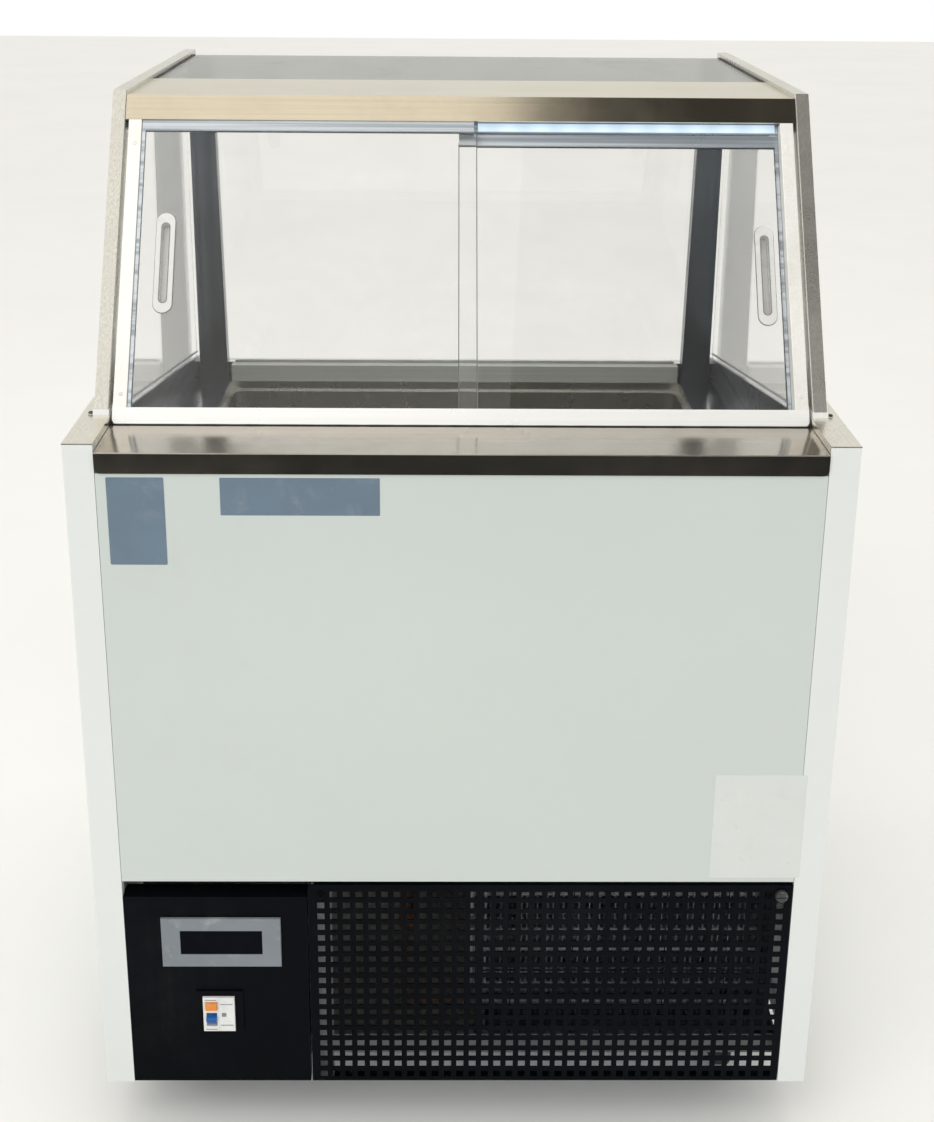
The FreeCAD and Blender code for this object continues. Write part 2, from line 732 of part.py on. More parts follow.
def air_filter():
    """Slide-out filter: a frame with a coarse grid, behind the perforated panel."""
    x0, x1, z0, z1 = 20, 355, 104, 326
    near, far = 26, 34
    frame = block(x0, x1, near, far, z0, z1).cut(block(x0 + 9, x1 - 9, near - 1, far + 1, z0 + 9, z1 - 9))
    bars = [block(x, x + 1.2, near + 3, near + 4.2, z0 + 5, z1 - 5) for x in range(x0 + 40, x1 - 20, 35)]
    bars += [block(x0 + 5, x1 - 5, near + 3, near + 4.2, z, z + 1.2) for z in range(z0 + 35, z1 - 15, 32)]
    return join(frame, *bars)


def pipe(points, radius):
    """Round tube along straight runs with balls at the turns."""
    pieces = []
    for a, b in zip(points[:-1], points[1:]):
        start = V(*a)
        way = V(*b) - start
        pieces.append(Part.makeCylinder(radius, way.Length, start, way))
    for corner in points[1:-1]:
        pieces.append(Part.makeSphere(radius, V(*corner)))
    return join(pieces[0], *pieces[1:])


def refrigerant_pipes():
    """Discharge and suction lines and the filter drier."""
    floor = TRAY_Z + 2
    x = COMPRESSOR_X + 40
    discharge = pipe([(x, COMPRESSOR_Y - 45, floor + 182), (x, COMPRESSOR_Y - 45, 306), (x, 200, 306),
                      (8, 200, 306), (8, 74, 306)], 4)
    back = COMPRESSOR_Y + 45
    suction = pipe([(x, back, floor + 182), (x, back, 312), (-40, back, 312), (-40, back, 343)], 5)
    drier = rod((-60, 180, 150), (0, 1, 0), 11, 90)
    drier = drier.makeFillet(8, [e for e in drier.Edges if isinstance(e.Curve, Part.Circle)])
    liquid = pipe([(8, 74, 130), (-60, 74, 130), (-60, 74, 150), (-60, 182, 150)], 3.5)
    return group([discharge, suction, join(drier, liquid)])


# ======================================================================= controls

def control_panel():
    """Black panel with cut-outs for the display and the breaker, and a raised breaker surround."""
    left = -INNER + GAP
    right = CONTROL_RIGHT
    skin = block(left, right, 0, SHEET, SKIRT_BOTTOM, CONTROL_TOP)
    folds = [
        block(left, right, 0, 24, CONTROL_TOP - SHEET, CONTROL_TOP),
        block(left, right, 0, 15, SKIRT_BOTTOM, SKIRT_BOTTOM + SHEET),
        block(left, left + SHEET, 0, 15, SKIRT_BOTTOM, CONTROL_TOP),
        block(right - SHEET, right, 0, 15, SKIRT_BOTTOM, CONTROL_TOP),
    ]
    surround = rounded_block(-293.5, -240.5, -2.0, SHEET, 144, 200.4, 0.9)
    panel = join(skin, surround, *folds)
    display_hole = block(DISPLAY_X0 + 5, DISPLAY_X1 - 5, -5, 5, DISPLAY_Z0 + 5, DISPLAY_Z1 - 5)
    breaker_hole = block(BREAKER_X0 - 0.4, BREAKER_X1 + 0.4, -5, 5, BREAKER_Z0 - 0.4, BREAKER_Z1 + 0.4)
    return panel.cut([display_hole, breaker_hole])


def display_bezel():
    """Grey display frame with its housing behind the panel."""
    plate = block(DISPLAY_X0, DISPLAY_X1, -3.5, 0, DISPLAY_Z0, DISPLAY_Z1)

    def front_edges(edge):
        middle = edge_middle(edge)
        return abs(middle.y + 3.5) < 0.01

    plate = softened(plate, 1.2, front_edges)
    housing = block(DISPLAY_X0 + 6, DISPLAY_X1 - 6, 0, 30, DISPLAY_Z0 + 6, DISPLAY_Z1 - 6)
    window = block(WINDOW_X0, WINDOW_X1, -4, -2, WINDOW_Z0, WINDOW_Z1)
    return join(plate, housing).cut(window)


def display_window():
    """Dark display lens, set a little below the frame's face."""
    return block(WINDOW_X0 + 0.2, WINDOW_X1 - 0.2, -2.9, -2, WINDOW_Z0 + 0.2, WINDOW_Z1 - 0.2)


def breaker_body():
    """Two-module breaker: a stepped body with pockets for its toggle and test button."""
    nose = block(BREAKER_X0, BREAKER_X1, BREAKER_FRONT, 8, BREAKER_Z0, BREAKER_Z1)
    body = block(BREAKER_X0, BREAKER_X1, 8, 62, BREAKER_Z0 - 20, BREAKER_Z1 + 20)
    shell = join(nose, body)

    def front_edges(edge):
        middle = edge_middle(edge)
        return abs(middle.y - BREAKER_FRONT) < 0.01

    shell = softened(shell, 0.8, front_edges)
    toggle_pocket = block(TOGGLE_X0 - 0.3, TOGGLE_X1 + 0.3, -10, TOGGLE_Y + 8, TOGGLE_Z - 9, TOGGLE_Z + 9)
    button_pocket = block(BUTTON_X0 - 0.3, BUTTON_X1 + 0.3, -10, 7, BUTTON_Z0 - 0.3, BUTTON_Z1 + 0.3)
    split_x = BREAKER_X0 + 17.4
    split = block(split_x, split_x + 0.4, -10, BREAKER_FRONT + 0.6, BREAKER_Z0 - 1, BREAKER_Z1 + 1)
    pin = rod((TOGGLE_X0 - 1, TOGGLE_Y, TOGGLE_Z), (1, 0, 0), 1.5, TOGGLE_X1 - TOGGLE_X0 + 2)
    shell = shell.cut([toggle_pocket, button_pocket, split])
    return join(shell, pin)


def breaker_toggle():
    """Lever on a drum that turns in the breaker's pocket."""
    drum = rod((TOGGLE_X0, TOGGLE_Y, TOGGLE_Z), (1, 0, 0), 7, TOGGLE_X1 - TOGGLE_X0)
    lever = prism_x(
        [(TOGGLE_Y, TOGGLE_Z - 4), (TOGGLE_Y, TOGGLE_Z + 5), (-TOGGLE_PROUD, TOGGLE_Z + 4.5),
         (-TOGGLE_PROUD, TOGGLE_Z - 1)],
        TOGGLE_X0, TOGGLE_X1)
    bore = rod((TOGGLE_X0 - 1, TOGGLE_Y, TOGGLE_Z), (1, 0, 0), 1.5 + RUNNING, TOGGLE_X1 - TOGGLE_X0 + 2)
    return join(drum, lever).cut(bore)


def breaker_test_button():
    """Push button that returns by its own spring."""
    button = block(BUTTON_X0, BUTTON_X1, -7.5, 4, BUTTON_Z0, BUTTON_Z1)

    def front_edges(edge):
        middle = edge_middle(edge)
        return abs(middle.y + 7.5) < 0.01

    return softened(button, 0.8, front_edges)


def control_box():
    """Closed electrical box behind the control panel."""
    box = block(-360, -175, 66, 150, 128, 318)
    rail = block(-330, -200, 62.2, 66, 160, 182)
    glands = [rod((-175, y, 150), (1, 0, 0), 8, 14) for y in (90, 120)]
    foot = block(-350, -185, 100, 118, TRAY_Z + 2, 128)
    return join(box, rail, foot, *glands)


def grille_holes():
    """Square faces of the perforation, leaving out the places of the knob and of the corner screw."""
    holes = []
    half = HOLE / 2
    for column in range(HOLE_COLUMNS):
        for row in range(HOLE_ROWS):
            if row == 0 and column in (0, HOLE_COLUMNS - 1):
                continue
            x = FIRST_HOLE_X + PITCH * column
            z = FIRST_HOLE_Z - PITCH * row
            corners = [V(x + i * half, 0, z + k * half) for i, k in ((-1, -1), (1, -1), (1, 1), (-1, 1))]
            holes.append(Part.makePolygon(corners + corners[:1]))
    return holes


def grille_door():
    """Perforated door of the machine compartment: a pierced sheet with folded edges."""
    right = INNER - GAP - 0.5
    low = SKIRT_BOTTOM
    rim = [V(GRILLE_LEFT, 0, low), V(right, 0, low), V(right, 0, GRILLE_TOP), V(GRILLE_LEFT, 0, GRILLE_TOP)]
    sheet = Part.Face([Part.makePolygon(rim + rim[:1])] + grille_holes())
    if not sheet.isValid():
        sheet.validate()
    skin = sheet.extrude(V(0, SHEET, 0))
    knob_x = FIRST_HOLE_X + PITCH * (HOLE_COLUMNS - 1)
    knob_hole = rod((knob_x, -1, FIRST_HOLE_Z), (0, 1, 0), 3 + RUNNING, 5)
    screw_hole = rod((FIRST_HOLE_X, -1, FIRST_HOLE_Z), (0, 1, 0), 3.2, 5)
    skin = skin.cut([knob_hole, screw_hole])
    fold_left = GRILLE_LEFT + 1
    folds = [
        block(fold_left, right, SHEET - 0.01, 15, GRILLE_TOP - SHEET, GRILLE_TOP),
        block(fold_left, right, SHEET - 0.01, 15, low, low + SHEET),
        block(right - SHEET, right, SHEET - 0.01, 15, low, GRILLE_TOP),
    ]
    door = join(skin, *folds)
    pin_holes = []
    for z in (low - 1, GRILLE_TOP - SHEET - 1):
        centre = (GRILLE_HINGE_X, GRILLE_HINGE_Y, z)
        pin_holes.append(rod(centre, (0, 0, 1), HINGE_PIN_R + RUNNING, SHEET + 2))
    return door.cut(pin_holes)


def grille_hinges():
    """Two fixed hinge plates, each with the pin that the door's fold turns on."""
    low_plate = SKIRT_BOTTOM + SHEET + 0.6
    high_plate = GRILLE_TOP - SHEET - 0.6 - 2
    pieces = [block(-160.5, -141, 16.4, 18, low_plate, PANEL_BOTTOM)]
    for z, pin_z, length in (
        (low_plate, SKIRT_BOTTOM + 0.1, SHEET + 0.6),
        (high_plate, high_plate + 2, SHEET + 0.6),
    ):
        plate = block(GRILLE_HINGE_X, -141, 1.8, 18, z, z + 2)
        pin = rod((GRILLE_HINGE_X, GRILLE_HINGE_Y, pin_z), (0, 0, 1), HINGE_PIN_R, length)
        ear = rod((GRILLE_HINGE_X, GRILLE_HINGE_Y, z), (0, 0, 1), HINGE_PIN_R, 2)
        pieces += [plate, pin, ear]
    return join(pieces[0], *pieces[1:])


def grille_knob():
    """Quarter-turn fastener: a domed, slotted head, a shank and a short cam."""
    x = FIRST_HOLE_X + PITCH * (HOLE_COLUMNS - 1)
    z = FIRST_HOLE_Z
    head = rod((x, 0, z), (0, -1, 0), 7, 5.5)
    outer = [e for e in head.Edges if isinstance(e.Curve, Part.Circle) and abs(e.Curve.Center.y + 5.5) < 0.01]
    head = head.makeFillet(2.5, outer)
    slot = block(x - 8, x + 8, -6, -4.2, z - 0.7, z + 0.7)
    shank = rod((x, 0, z), (0, 1, 0), 3, 7)
    cam = block(x - 3, x + 3, 4, 6.5, z - 3, z + 8)
    return join(head.cut(slot), shank, cam)


def cord_inlet():
    """Cable gland on the customer's side, with its mouth empty."""
    far = BODY_DEPTH
    nut = rod((INLET_X, far - SHEET, INLET_Z), (0, -1, 0), 13, 6)
    dome = rod((INLET_X, far, INLET_Z), (0, 1, 0), 12, 12)
    rims = [e for e in dome.Edges if isinstance(e.Curve, Part.Circle)]
    dome = dome.makeFillet(3, [e for e in rims if e.Curve.Center.y > far + 6])
    neck = rod((INLET_X, far - SHEET, INLET_Z), (0, 1, 0), 8, SHEET)
    mouth = rod((INLET_X, far - 10, INLET_Z), (0, 1, 0), INLET_R, 30)
    return join(nut, neck, dome).cut(mouth)


# ======================================================================= hood

def hood_end_outline():
    """(y, z) outline of a side frame: a leaning post and a level top rail."""
    def post_y(height, n):
        s = (height - COUNTER_Z + n * math.sin(LEAN)) / math.cos(LEAN)
        return hood_point(s, n)[0]
    foot = CAP_Z + 5
    low_rail = RAIL_TOP - RAIL_TALL
    return [
        (post_y(foot, 0), foot), (post_y(RAIL_TOP, 0), RAIL_TOP), (RAIL_END, RAIL_TOP), (RAIL_END, low_rail),
        (post_y(low_rail, FRAME_DEEP), low_rail), (post_y(foot, FRAME_DEEP), foot),
    ]


def side_glass():
    """Right-hand side pane, let into the side frame."""
    bite = 8.0
    top = RAIL_TOP - RAIL_TALL + bite
    low_s = (112 - DOOR_FOOT_Y - (FRAME_DEEP - bite) * math.cos(LEAN)) / math.sin(LEAN)
    high_s = (top - COUNTER_Z + (FRAME_DEEP - bite) * math.sin(LEAN)) / math.cos(LEAN)
    low_corner = hood_point(low_s, FRAME_DEEP - bite)
    high_corner = hood_point(high_s, FRAME_DEEP - bite)
    far = CUSTOMER_GLASS_Y - GAP
    outline = [
        (112, wall_top(112) + 0.3), low_corner, high_corner, (far, top), (far, wall_top(far) + 0.3),
    ]
    return prism_x(outline, LINING_X + 2, LINING_X + 2 + HOOD_GLASS)


def side_frame():
    """Right-hand side frame: a brushed tube bent over at the top, with a ledge for the top glass."""
    frame = prism_x(hood_end_outline(), FRAME_IN, FRAME_OUT)

    def long_edge(edge):
        return isinstance(edge.Curve, Part.Line) and edge.Length > 50

    frame = softened(frame, 1.0, long_edge)
    under_glass = TOP_GLASS_Z - HOOD_GLASS
    ledge = block(FRAME_IN - 13, FRAME_IN + 2, 300, TOP_GLASS_END, under_glass - 1.7, under_glass - 0.2)
    pane_end = CUSTOMER_GLASS_Y + HOOD_GLASS + GAP
    ledge = ledge.cut(block(300, FRAME_IN, POST_NEAR - GAP, pane_end, 1140, under_glass))
    frame = join(frame, ledge)
    return frame.cut(side_glass())


def frame_foot():
    """Right-hand white foot block under the side frame, with its screw."""
    y0, z0 = hood_point((CAP_Z - COUNTER_Z) / math.cos(LEAN), 0)
    rise = 5 * math.tan(LEAN)
    depth = FRAME_DEEP / math.cos(LEAN)
    far = y0 + depth - 7
    outline = [(y0 - 0.5, CAP_Z), (y0 + rise - 0.5, CAP_Z + 5), (far, CAP_Z + 5), (far - 4, CAP_Z)]
    foot = prism_x(outline, FRAME_IN - 0.5, FRAME_OUT + 0.8)
    screw = rod((FRAME_OUT + 3.2, y0 + 3, CAP_Z), (0, 0, 1), 2.2, 1.6)
    return [foot, screw]


def customer_glass():
    """Upright pane on the customer's side, notched under the side rails."""
    side = LINING_X + 2 + HOOD_GLASS
    low = RIM_Z + 0.2
    shoulder = RAIL_TOP - RAIL_TALL - 0.4
    top = TOP_GLASS_Z - HOOD_GLASS - 0.4
    neck = FRAME_IN - 14
    low_side = max(low, wall_top(CUSTOMER_GLASS_Y) + 0.5)
    outline = [
        (-LINING_X + 0.5, low), (LINING_X - 0.5, low), (LINING_X - 0.5, low_side), (side, low_side),
        (side, shoulder), (neck, shoulder), (neck, top), (-neck, top), (-neck, shoulder), (-side, shoulder),
        (-side, low_side), (-LINING_X + 0.5, low_side),
    ]
    return prism_y(outline, CUSTOMER_GLASS_Y, CUSTOMER_GLASS_Y + HOOD_GLASS)


def top_glass():
    """Tinted top pane between the side rails."""
    side = FRAME_IN - 0.3
    pane = block(-side, side, STRIP_END - 14, TOP_GLASS_END, TOP_GLASS_Z - HOOD_GLASS, TOP_GLASS_Z)
    return pane.makeChamfer(0.6, pane.Edges)


def top_cover():
    """Stainless top strip folded down into the fascia over the doors."""
    top = TOP_GLASS_Z + SHEET
    high_s = (top - COUNTER_Z) / math.cos(LEAN)
    inner_s = (top - SHEET - COUNTER_Z + SHEET * math.sin(LEAN)) / math.cos(LEAN)
    outline = [
        hood_point(FASCIA_LOW, 0), hood_point(high_s, 0), (STRIP_END, top), (STRIP_END, top - SHEET),
        hood_point(inner_s, SHEET), hood_point(FASCIA_LOW + SHEET, SHEET),
        hood_point(FASCIA_LOW + SHEET, 1.5), hood_point(FASCIA_LOW, 1.5),
    ]
    cover = prism_x(outline, -FRAME_IN + 0.3, FRAME_IN - 0.3)

    def top_fold(edge):
        middle = edge_middle(edge)
        y, z = hood_point(high_s, 0)
        return abs(middle.y - y) < 0.01 and abs(middle.z - z) < 0.01 and runs_along(edge, "x")

    return softened(cover, 1.1, top_fold)


def door_sill():
    """Bottom rail of the doorway with a groove for each door."""
    low = [(0, 0), (SILL_HIGH, 0), (SILL_HIGH, SILL_DEEP), (SILL_DEEP * math.tan(LEAN), SILL_DEEP)]
    sill = hood_bar(-JAMB_OUT, JAMB_OUT, low)

    def face_corner(edge):
        y, z = hood_point(0, 0)
        middle = edge_middle(edge)
        at_end = abs(abs(middle.x) - JAMB_OUT) < 0.01
        return at_end and abs(middle.z - z) < 0.01 and not runs_along(edge, "x")

    sill = softened(sill, 6.5, face_corner)
    grooves = [
        hood_block(-JAMB_IN, JAMB_IN, 11, SILL_HIGH + 1, OUTER_N - 1, OUTER_N + HOOD_GLASS + 1),
        hood_block(-JAMB_IN, JAMB_IN, 16, SILL_HIGH + 1, INNER_N - 1, INNER_N + HOOD_GLASS + 1),
    ]
    return sill.cut(grooves)


def door_header():
    """Stepped top track over both doors, with a guide groove for each."""
    top = 372
    outline = [
        (HEADER_OUTER_LOW, 1.8), (top, 1.8), (top, SILL_DEEP), (HEADER_INNER_LOW, SILL_DEEP),
        (HEADER_INNER_LOW, 13.2), (HEADER_OUTER_LOW, 13.2),
    ]
    header = hood_bar(-FRAME_IN + 0.3, FRAME_IN - 0.3, outline)
    cuts = []
    for n, low in ((OUTER_N, HEADER_OUTER_LOW), (INNER_N, HEADER_INNER_LOW)):
        middle = n + HOOD_GLASS / 2
        cuts.append(hood_block(-FRAME_IN, FRAME_IN, low - 1, low + 6, middle - 1.8, middle + 1.8))
    cuts.append(hood_block(LAMP_X0 - 0.3, LAMP_X1 + 0.3, LAMP_LOW - 1, LAMP_HIGH, 10, LAMP_N1 + 0.1))
    return header.cut(cuts)


def lamp_housing():
    """Channel of the lamp strip with a cap at each end."""
    channel = hood_block(LAMP_X0, LAMP_X1, LAMP_LOW, LAMP_HIGH, LAMP_N0 + 0.6, LAMP_N1)
    hollow = hood_block(LAMP_X0 + 5, LAMP_X1 - 3, LAMP_LOW + 0.9, LAMP_HIGH - 0.9, LAMP_N0, LAMP_N1 - 1)
    return channel.cut(hollow)


def lamp_diffuser():
    """Milky lens over the channel, standing a little proud."""
    x0 = LAMP_X0 + 5.3
    x1 = LAMP_X1 - 3.3
    lens = hood_block(x0, x1, LAMP_LOW + 1.2, LAMP_HIGH - 1.2, LAMP_N0, LAMP_N0 + 3)
    outer_face = hood_point(LAMP_LOW, LAMP_N0)[0] + 5
    return softened(lens, 0.5, lambda e: e.Length > 100 and e.BoundBox.YMin < outer_face)


def door_jambs():
    """Two upright aluminium profiles at the ends of the doorway."""
    jamb = hood_block(JAMB_IN, JAMB_OUT, SILL_HIGH, FASCIA_LOW - 0.3, 0, SILL_DEEP)
    step = hood_block(JAMB_IN - 1, JAMB_OUT + 1, HEADER_INNER_LOW - 0.4, FASCIA_LOW + 5, 12.8, SILL_DEEP + 1)
    jamb = jamb.cut(step)
    long_edges = [e for e in jamb.Edges if e.Length > 200]
    jamb = jamb.makeFillet(0.8, long_edges)
    return group(both_sides(jamb))


def door_glass(x0, x1, low, rail_low, n, handle_x, handle_s):
    """Pane of a sliding door, cut out for its finger pull."""
    pane = hood_block(x0, x1, low, rail_low + 9, n, n + HOOD_GLASS)
    cut_out = hood_slot(handle_x, handle_s, HANDLE_LONG - 6, HANDLE_WIDE - 6, n - 1, n + HOOD_GLASS + 1)
    return pane.cut(cut_out)


def door_frame(x0, x1, low, rail_low, n, pane, edge_x0, edge_x1, tongue_top):
    """Top rail with a guide tongue, and the slim profile on the door's outer edge."""
    near = n - 1.7
    far = n + HOOD_GLASS + 1.7
    top = rail_low + DOOR_RAIL_TALL
    rail = hood_block(x0, x1, rail_low, top, near, far)
    rail = softened(rail, 1.6, lambda e: runs_along(e, "x"))
    tongue_near = n + (HOOD_GLASS - TONGUE_THICK) / 2
    tongue = hood_block(x0 + 8, x1 - 8, top - 1, tongue_top, tongue_near, tongue_near + TONGUE_THICK)
    edge = hood_block(edge_x0, edge_x1, SILL_HIGH + 1, rail_low + 1, near + 0.2, far - 0.2)
    shoe = hood_block(x0 + 3, x1 - 3, low - 1.2, low, n + 0.6, n + HOOD_GLASS - 0.6)
    return group([join(rail, tongue, edge).cut(pane), shoe])


def door_handle(x, s, n, back):
    """Recessed finger pull: a plate with round ends and a cup behind its slot."""
    plate = hood_slot(x, s, HANDLE_LONG, HANDLE_WIDE, n - 2.2, n - 0.1)
    cup = hood_slot(x, s, HANDLE_LONG - 7, HANDLE_WIDE - 7, n - 0.2, back)
    finger = hood_slot(x, s, HANDLE_SLOT_LONG, HANDLE_SLOT_WIDE, n - 3, back - 1)
    return join(plate, cup).cut(finger)


def sliding_doors():
    """Both doors as (node name, shape) pairs."""
    pieces = []
    edge = JAMB_IN - DOOR_CLEAR
    outer_low = 13.0
    inner_low = 18.0
    left_x = -HANDLE_X + 9
    right_x = HANDLE_X + 2
    left = door_glass(-edge + 1, OUTER_EDGE, outer_low, OUTER_RAIL_LOW, OUTER_N, left_x, OUTER_HANDLE_S)
    right = door_glass(INNER_EDGE, edge - 1, inner_low, INNER_RAIL_LOW, INNER_N, right_x, INNER_HANDLE_S)
    left_frame = door_frame(-edge, OUTER_EDGE - 3, outer_low, OUTER_RAIL_LOW, OUTER_N, left,
                            -edge, -edge + DOOR_EDGE, HEADER_OUTER_LOW + 3.4)
    right_frame = door_frame(INNER_EDGE, edge, inner_low, INNER_RAIL_LOW, INNER_N, right,
                             edge - DOOR_EDGE, edge, HEADER_INNER_LOW + 4)
    pieces.append(("door_left_glass", left))
    pieces.append(("door_left_frame", left_frame))
    pieces.append(("door_left_handle", door_handle(left_x, OUTER_HANDLE_S, OUTER_N, 12.0)))
    pieces.append(("door_right_glass", right))
    pieces.append(("door_right_frame", right_frame))
    pieces.append(("door_right_handle", door_handle(right_x, INNER_HANDLE_S, INNER_N, 25.0)))
    return pieces


# ======================================================================= writing

def all_parts():
    """Every node of the freezer as (name, shape)."""
    parts = [
        ("base_frame", base_frame()),
        ("side_panels", group(both_sides(side_panel()))),
        ("side_caps", group(both_sides(side_cap()))),
        ("operator_panel", operator_panel()),
        ("customer_panel", customer_panel()),
        ("customer_vent_panel", customer_vent_panel()),
        ("counter_tray", counter_tray()),
        ("well_tank", well_tank()),
        ("deck_plate", deck_plate()),
        ("chamber_linings", chamber_linings()),
        ("front_rim", front_rim()),
        ("insulation", insulation()),
        ("evaporator_coil", evaporator_coil()),
        ("compressor", compressor()),
        ("condenser", condenser()),
        ("fan_shroud", fan_shroud()),
        ("fan_motor", fan_motor()),
        ("condenser_fan", condenser_fan()),
        ("air_filter", air_filter()),
        ("refrigerant_pipes", refrigerant_pipes()),
        ("control_panel", control_panel()),
        ("display_bezel", display_bezel()),
        ("display_window", display_window()),
        ("breaker_body", breaker_body()),
        ("breaker_toggle", breaker_toggle()),
        ("breaker_test_button", breaker_test_button()),
        ("control_box", control_box()),
        ("grille_door", grille_door()),
        ("grille_hinges", grille_hinges()),
        ("grille_knob", grille_knob()),
        ("cord_inlet", cord_inlet()),
        ("side_frames", group(both_sides(side_frame()))),
        ("side_glasses", group(both_sides(side_glass()))),
        ("customer_glass", customer_glass()),
        ("top_glass", top_glass()),
        ("top_cover", top_cover()),
        ("front_posts", group(both_sides(front_post()))),
        ("frame_feet", group([p for piece in frame_foot() for p in both_sides(piece)])),
        ("door_sill", door_sill()),
        ("door_header", door_header()),
        ("door_jambs", door_jambs()),
        ("lamp_housing", lamp_housing()),
        ("lamp_diffuser", lamp_diffuser()),
        ("castor_plates", castor_plates()),
    ]
    for name, x, y in castor_places():
        fork = castor_fork(x, y)
        if name.startswith("operator"):
            fork = join(fork, *brake_lugs(x, y))
            parts.append(("castor_brake_" + name, castor_brake(x, y)))
        parts.append(("castor_fork_" + name, fork))
        parts.append(("castor_wheel_" + name, castor_wheel(x, y)))
    return parts + sliding_doors()


os.makedirs("parts", exist_ok=True)
for part_name, part_shape in all_parts():
    save(part_name, part_shape)
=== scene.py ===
import bpy
import bmesh
import math
from mathutils import Matrix, Vector


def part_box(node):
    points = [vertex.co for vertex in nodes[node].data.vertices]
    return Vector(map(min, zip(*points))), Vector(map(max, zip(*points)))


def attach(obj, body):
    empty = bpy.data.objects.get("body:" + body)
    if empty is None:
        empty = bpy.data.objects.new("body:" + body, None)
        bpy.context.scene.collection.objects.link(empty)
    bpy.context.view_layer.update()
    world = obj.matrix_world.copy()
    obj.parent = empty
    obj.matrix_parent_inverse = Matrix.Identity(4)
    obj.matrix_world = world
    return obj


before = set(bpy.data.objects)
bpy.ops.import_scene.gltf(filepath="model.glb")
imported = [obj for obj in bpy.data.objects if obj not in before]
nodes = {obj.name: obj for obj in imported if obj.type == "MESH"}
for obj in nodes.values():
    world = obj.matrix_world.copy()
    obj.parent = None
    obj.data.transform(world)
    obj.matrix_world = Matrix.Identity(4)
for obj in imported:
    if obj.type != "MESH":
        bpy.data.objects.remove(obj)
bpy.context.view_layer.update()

MM = 0.001
X, Y, Z = Vector((1, 0, 0)), Vector((0, 1, 0)), Vector((0, 0, 1))


# ============================================================== node materials

def new_material(name):
    """Empty node material with its output, shader and object coordinates."""
    m = bpy.data.materials.new(name)
    m.use_nodes = True
    t = m.node_tree
    t.nodes.clear()
    out = t.nodes.new("ShaderNodeOutputMaterial")
    shader = t.nodes.new("ShaderNodeBsdfPrincipled")
    t.links.new(shader.outputs[0], out.inputs[0])
    coord = t.nodes.new("ShaderNodeTexCoord")
    return m, t, shader, coord.outputs["Object"]


def stretched(t, vector, stretch, turn=(0, 0, 0)):
    """Coordinates scaled by stretch after a turn."""
    node = t.nodes.new("ShaderNodeMapping")
    node.inputs["Scale"].default_value = stretch
    node.inputs["Rotation"].default_value = turn
    t.links.new(vector, node.inputs["Vector"])
    return node.outputs[0]


def noise(t, vector, scale, detail=6.0, rough=0.6, lumps=0.0):
    node = t.nodes.new("ShaderNodeTexNoise")
    node.inputs["Scale"].default_value = scale
    node.inputs["Detail"].default_value = detail
    node.inputs["Roughness"].default_value = rough
    node.inputs["Distortion"].default_value = lumps
    t.links.new(vector, node.inputs["Vector"])
    return node.outputs["Fac"]


def ramp(t, value, stops):
    """Colours over 0 to 1, as (position, (r, g, b)) stops."""
    node = t.nodes.new("ShaderNodeValToRGB")
    ends = node.color_ramp.elements
    while len(ends) < len(stops):
        ends.new(0.5)
    for end, (place, colour) in zip(ends, stops):
        end.position = place
        end.color = (*colour, 1)
    t.links.new(value, node.inputs[0])
    return node.outputs[0]


def span(t, value, low, high, from_low=0.3, from_high=0.7):
    node = t.nodes.new("ShaderNodeMapRange")
    node.inputs["From Min"].default_value = from_low
    node.inputs["From Max"].default_value = from_high
    node.inputs["To Min"].default_value = low
    node.inputs["To Max"].default_value = high
    t.links.new(value, node.inputs["Value"])
    return node.outputs[0]


def mixed(t, factor, a, b):
    """Two colours mixed by a factor; a factor or colour may be a fixed value."""
    node = t.nodes.new("ShaderNodeMix")
    node.data_type = "RGBA"
    for place, value in ((0, factor), (6, a), (7, b)):
        if isinstance(value, (int, float)):
            node.inputs[place].default_value = value
        elif isinstance(value, tuple):
            node.inputs[place].default_value = (*value, 1)
        else:
            t.links.new(value, node.inputs[place])
    return node.outputs[2]


def bumped(t, shader, height, strength, distance=0.001, below=None):
    node = t.nodes.new("ShaderNodeBump")
    node.inputs["Strength"].default_value = strength
    node.inputs["Distance"].default_value = distance
    t.links.new(height, node.inputs["Height"])
    if below is not None:
        t.links.new(below, node.inputs["Normal"])
    t.links.new(node.outputs[0], shader.inputs["Normal"])
    return node.outputs[0]


def axis_part(t, vector, axis):
    node = t.nodes.new("ShaderNodeSeparateXYZ")
    t.links.new(vector, node.inputs[0])
    return node.outputs["XYZ".index(axis)]


def times(t, a, b, kind="MULTIPLY"):
    node = t.nodes.new("ShaderNodeMath")
    node.operation = kind
    node.use_clamp = True
    for place, value in ((0, a), (1, b)):
        if isinstance(value, (int, float)):
            node.inputs[place].default_value = value
        else:
            t.links.new(value, node.inputs[place])
    return node.outputs[0]


def grime(t, coord, scale, start, end):
    """Patchy mask, 0 on clean places and up to 1 on marked ones."""
    broad = noise(t, coord, scale, 8, 0.65, 0.6)
    fine = noise(t, coord, scale * 9, 4, 0.7)
    return times(t, span(t, broad, 0, 1, start, end), span(t, fine, 0.35, 1, 0.35, 0.65))


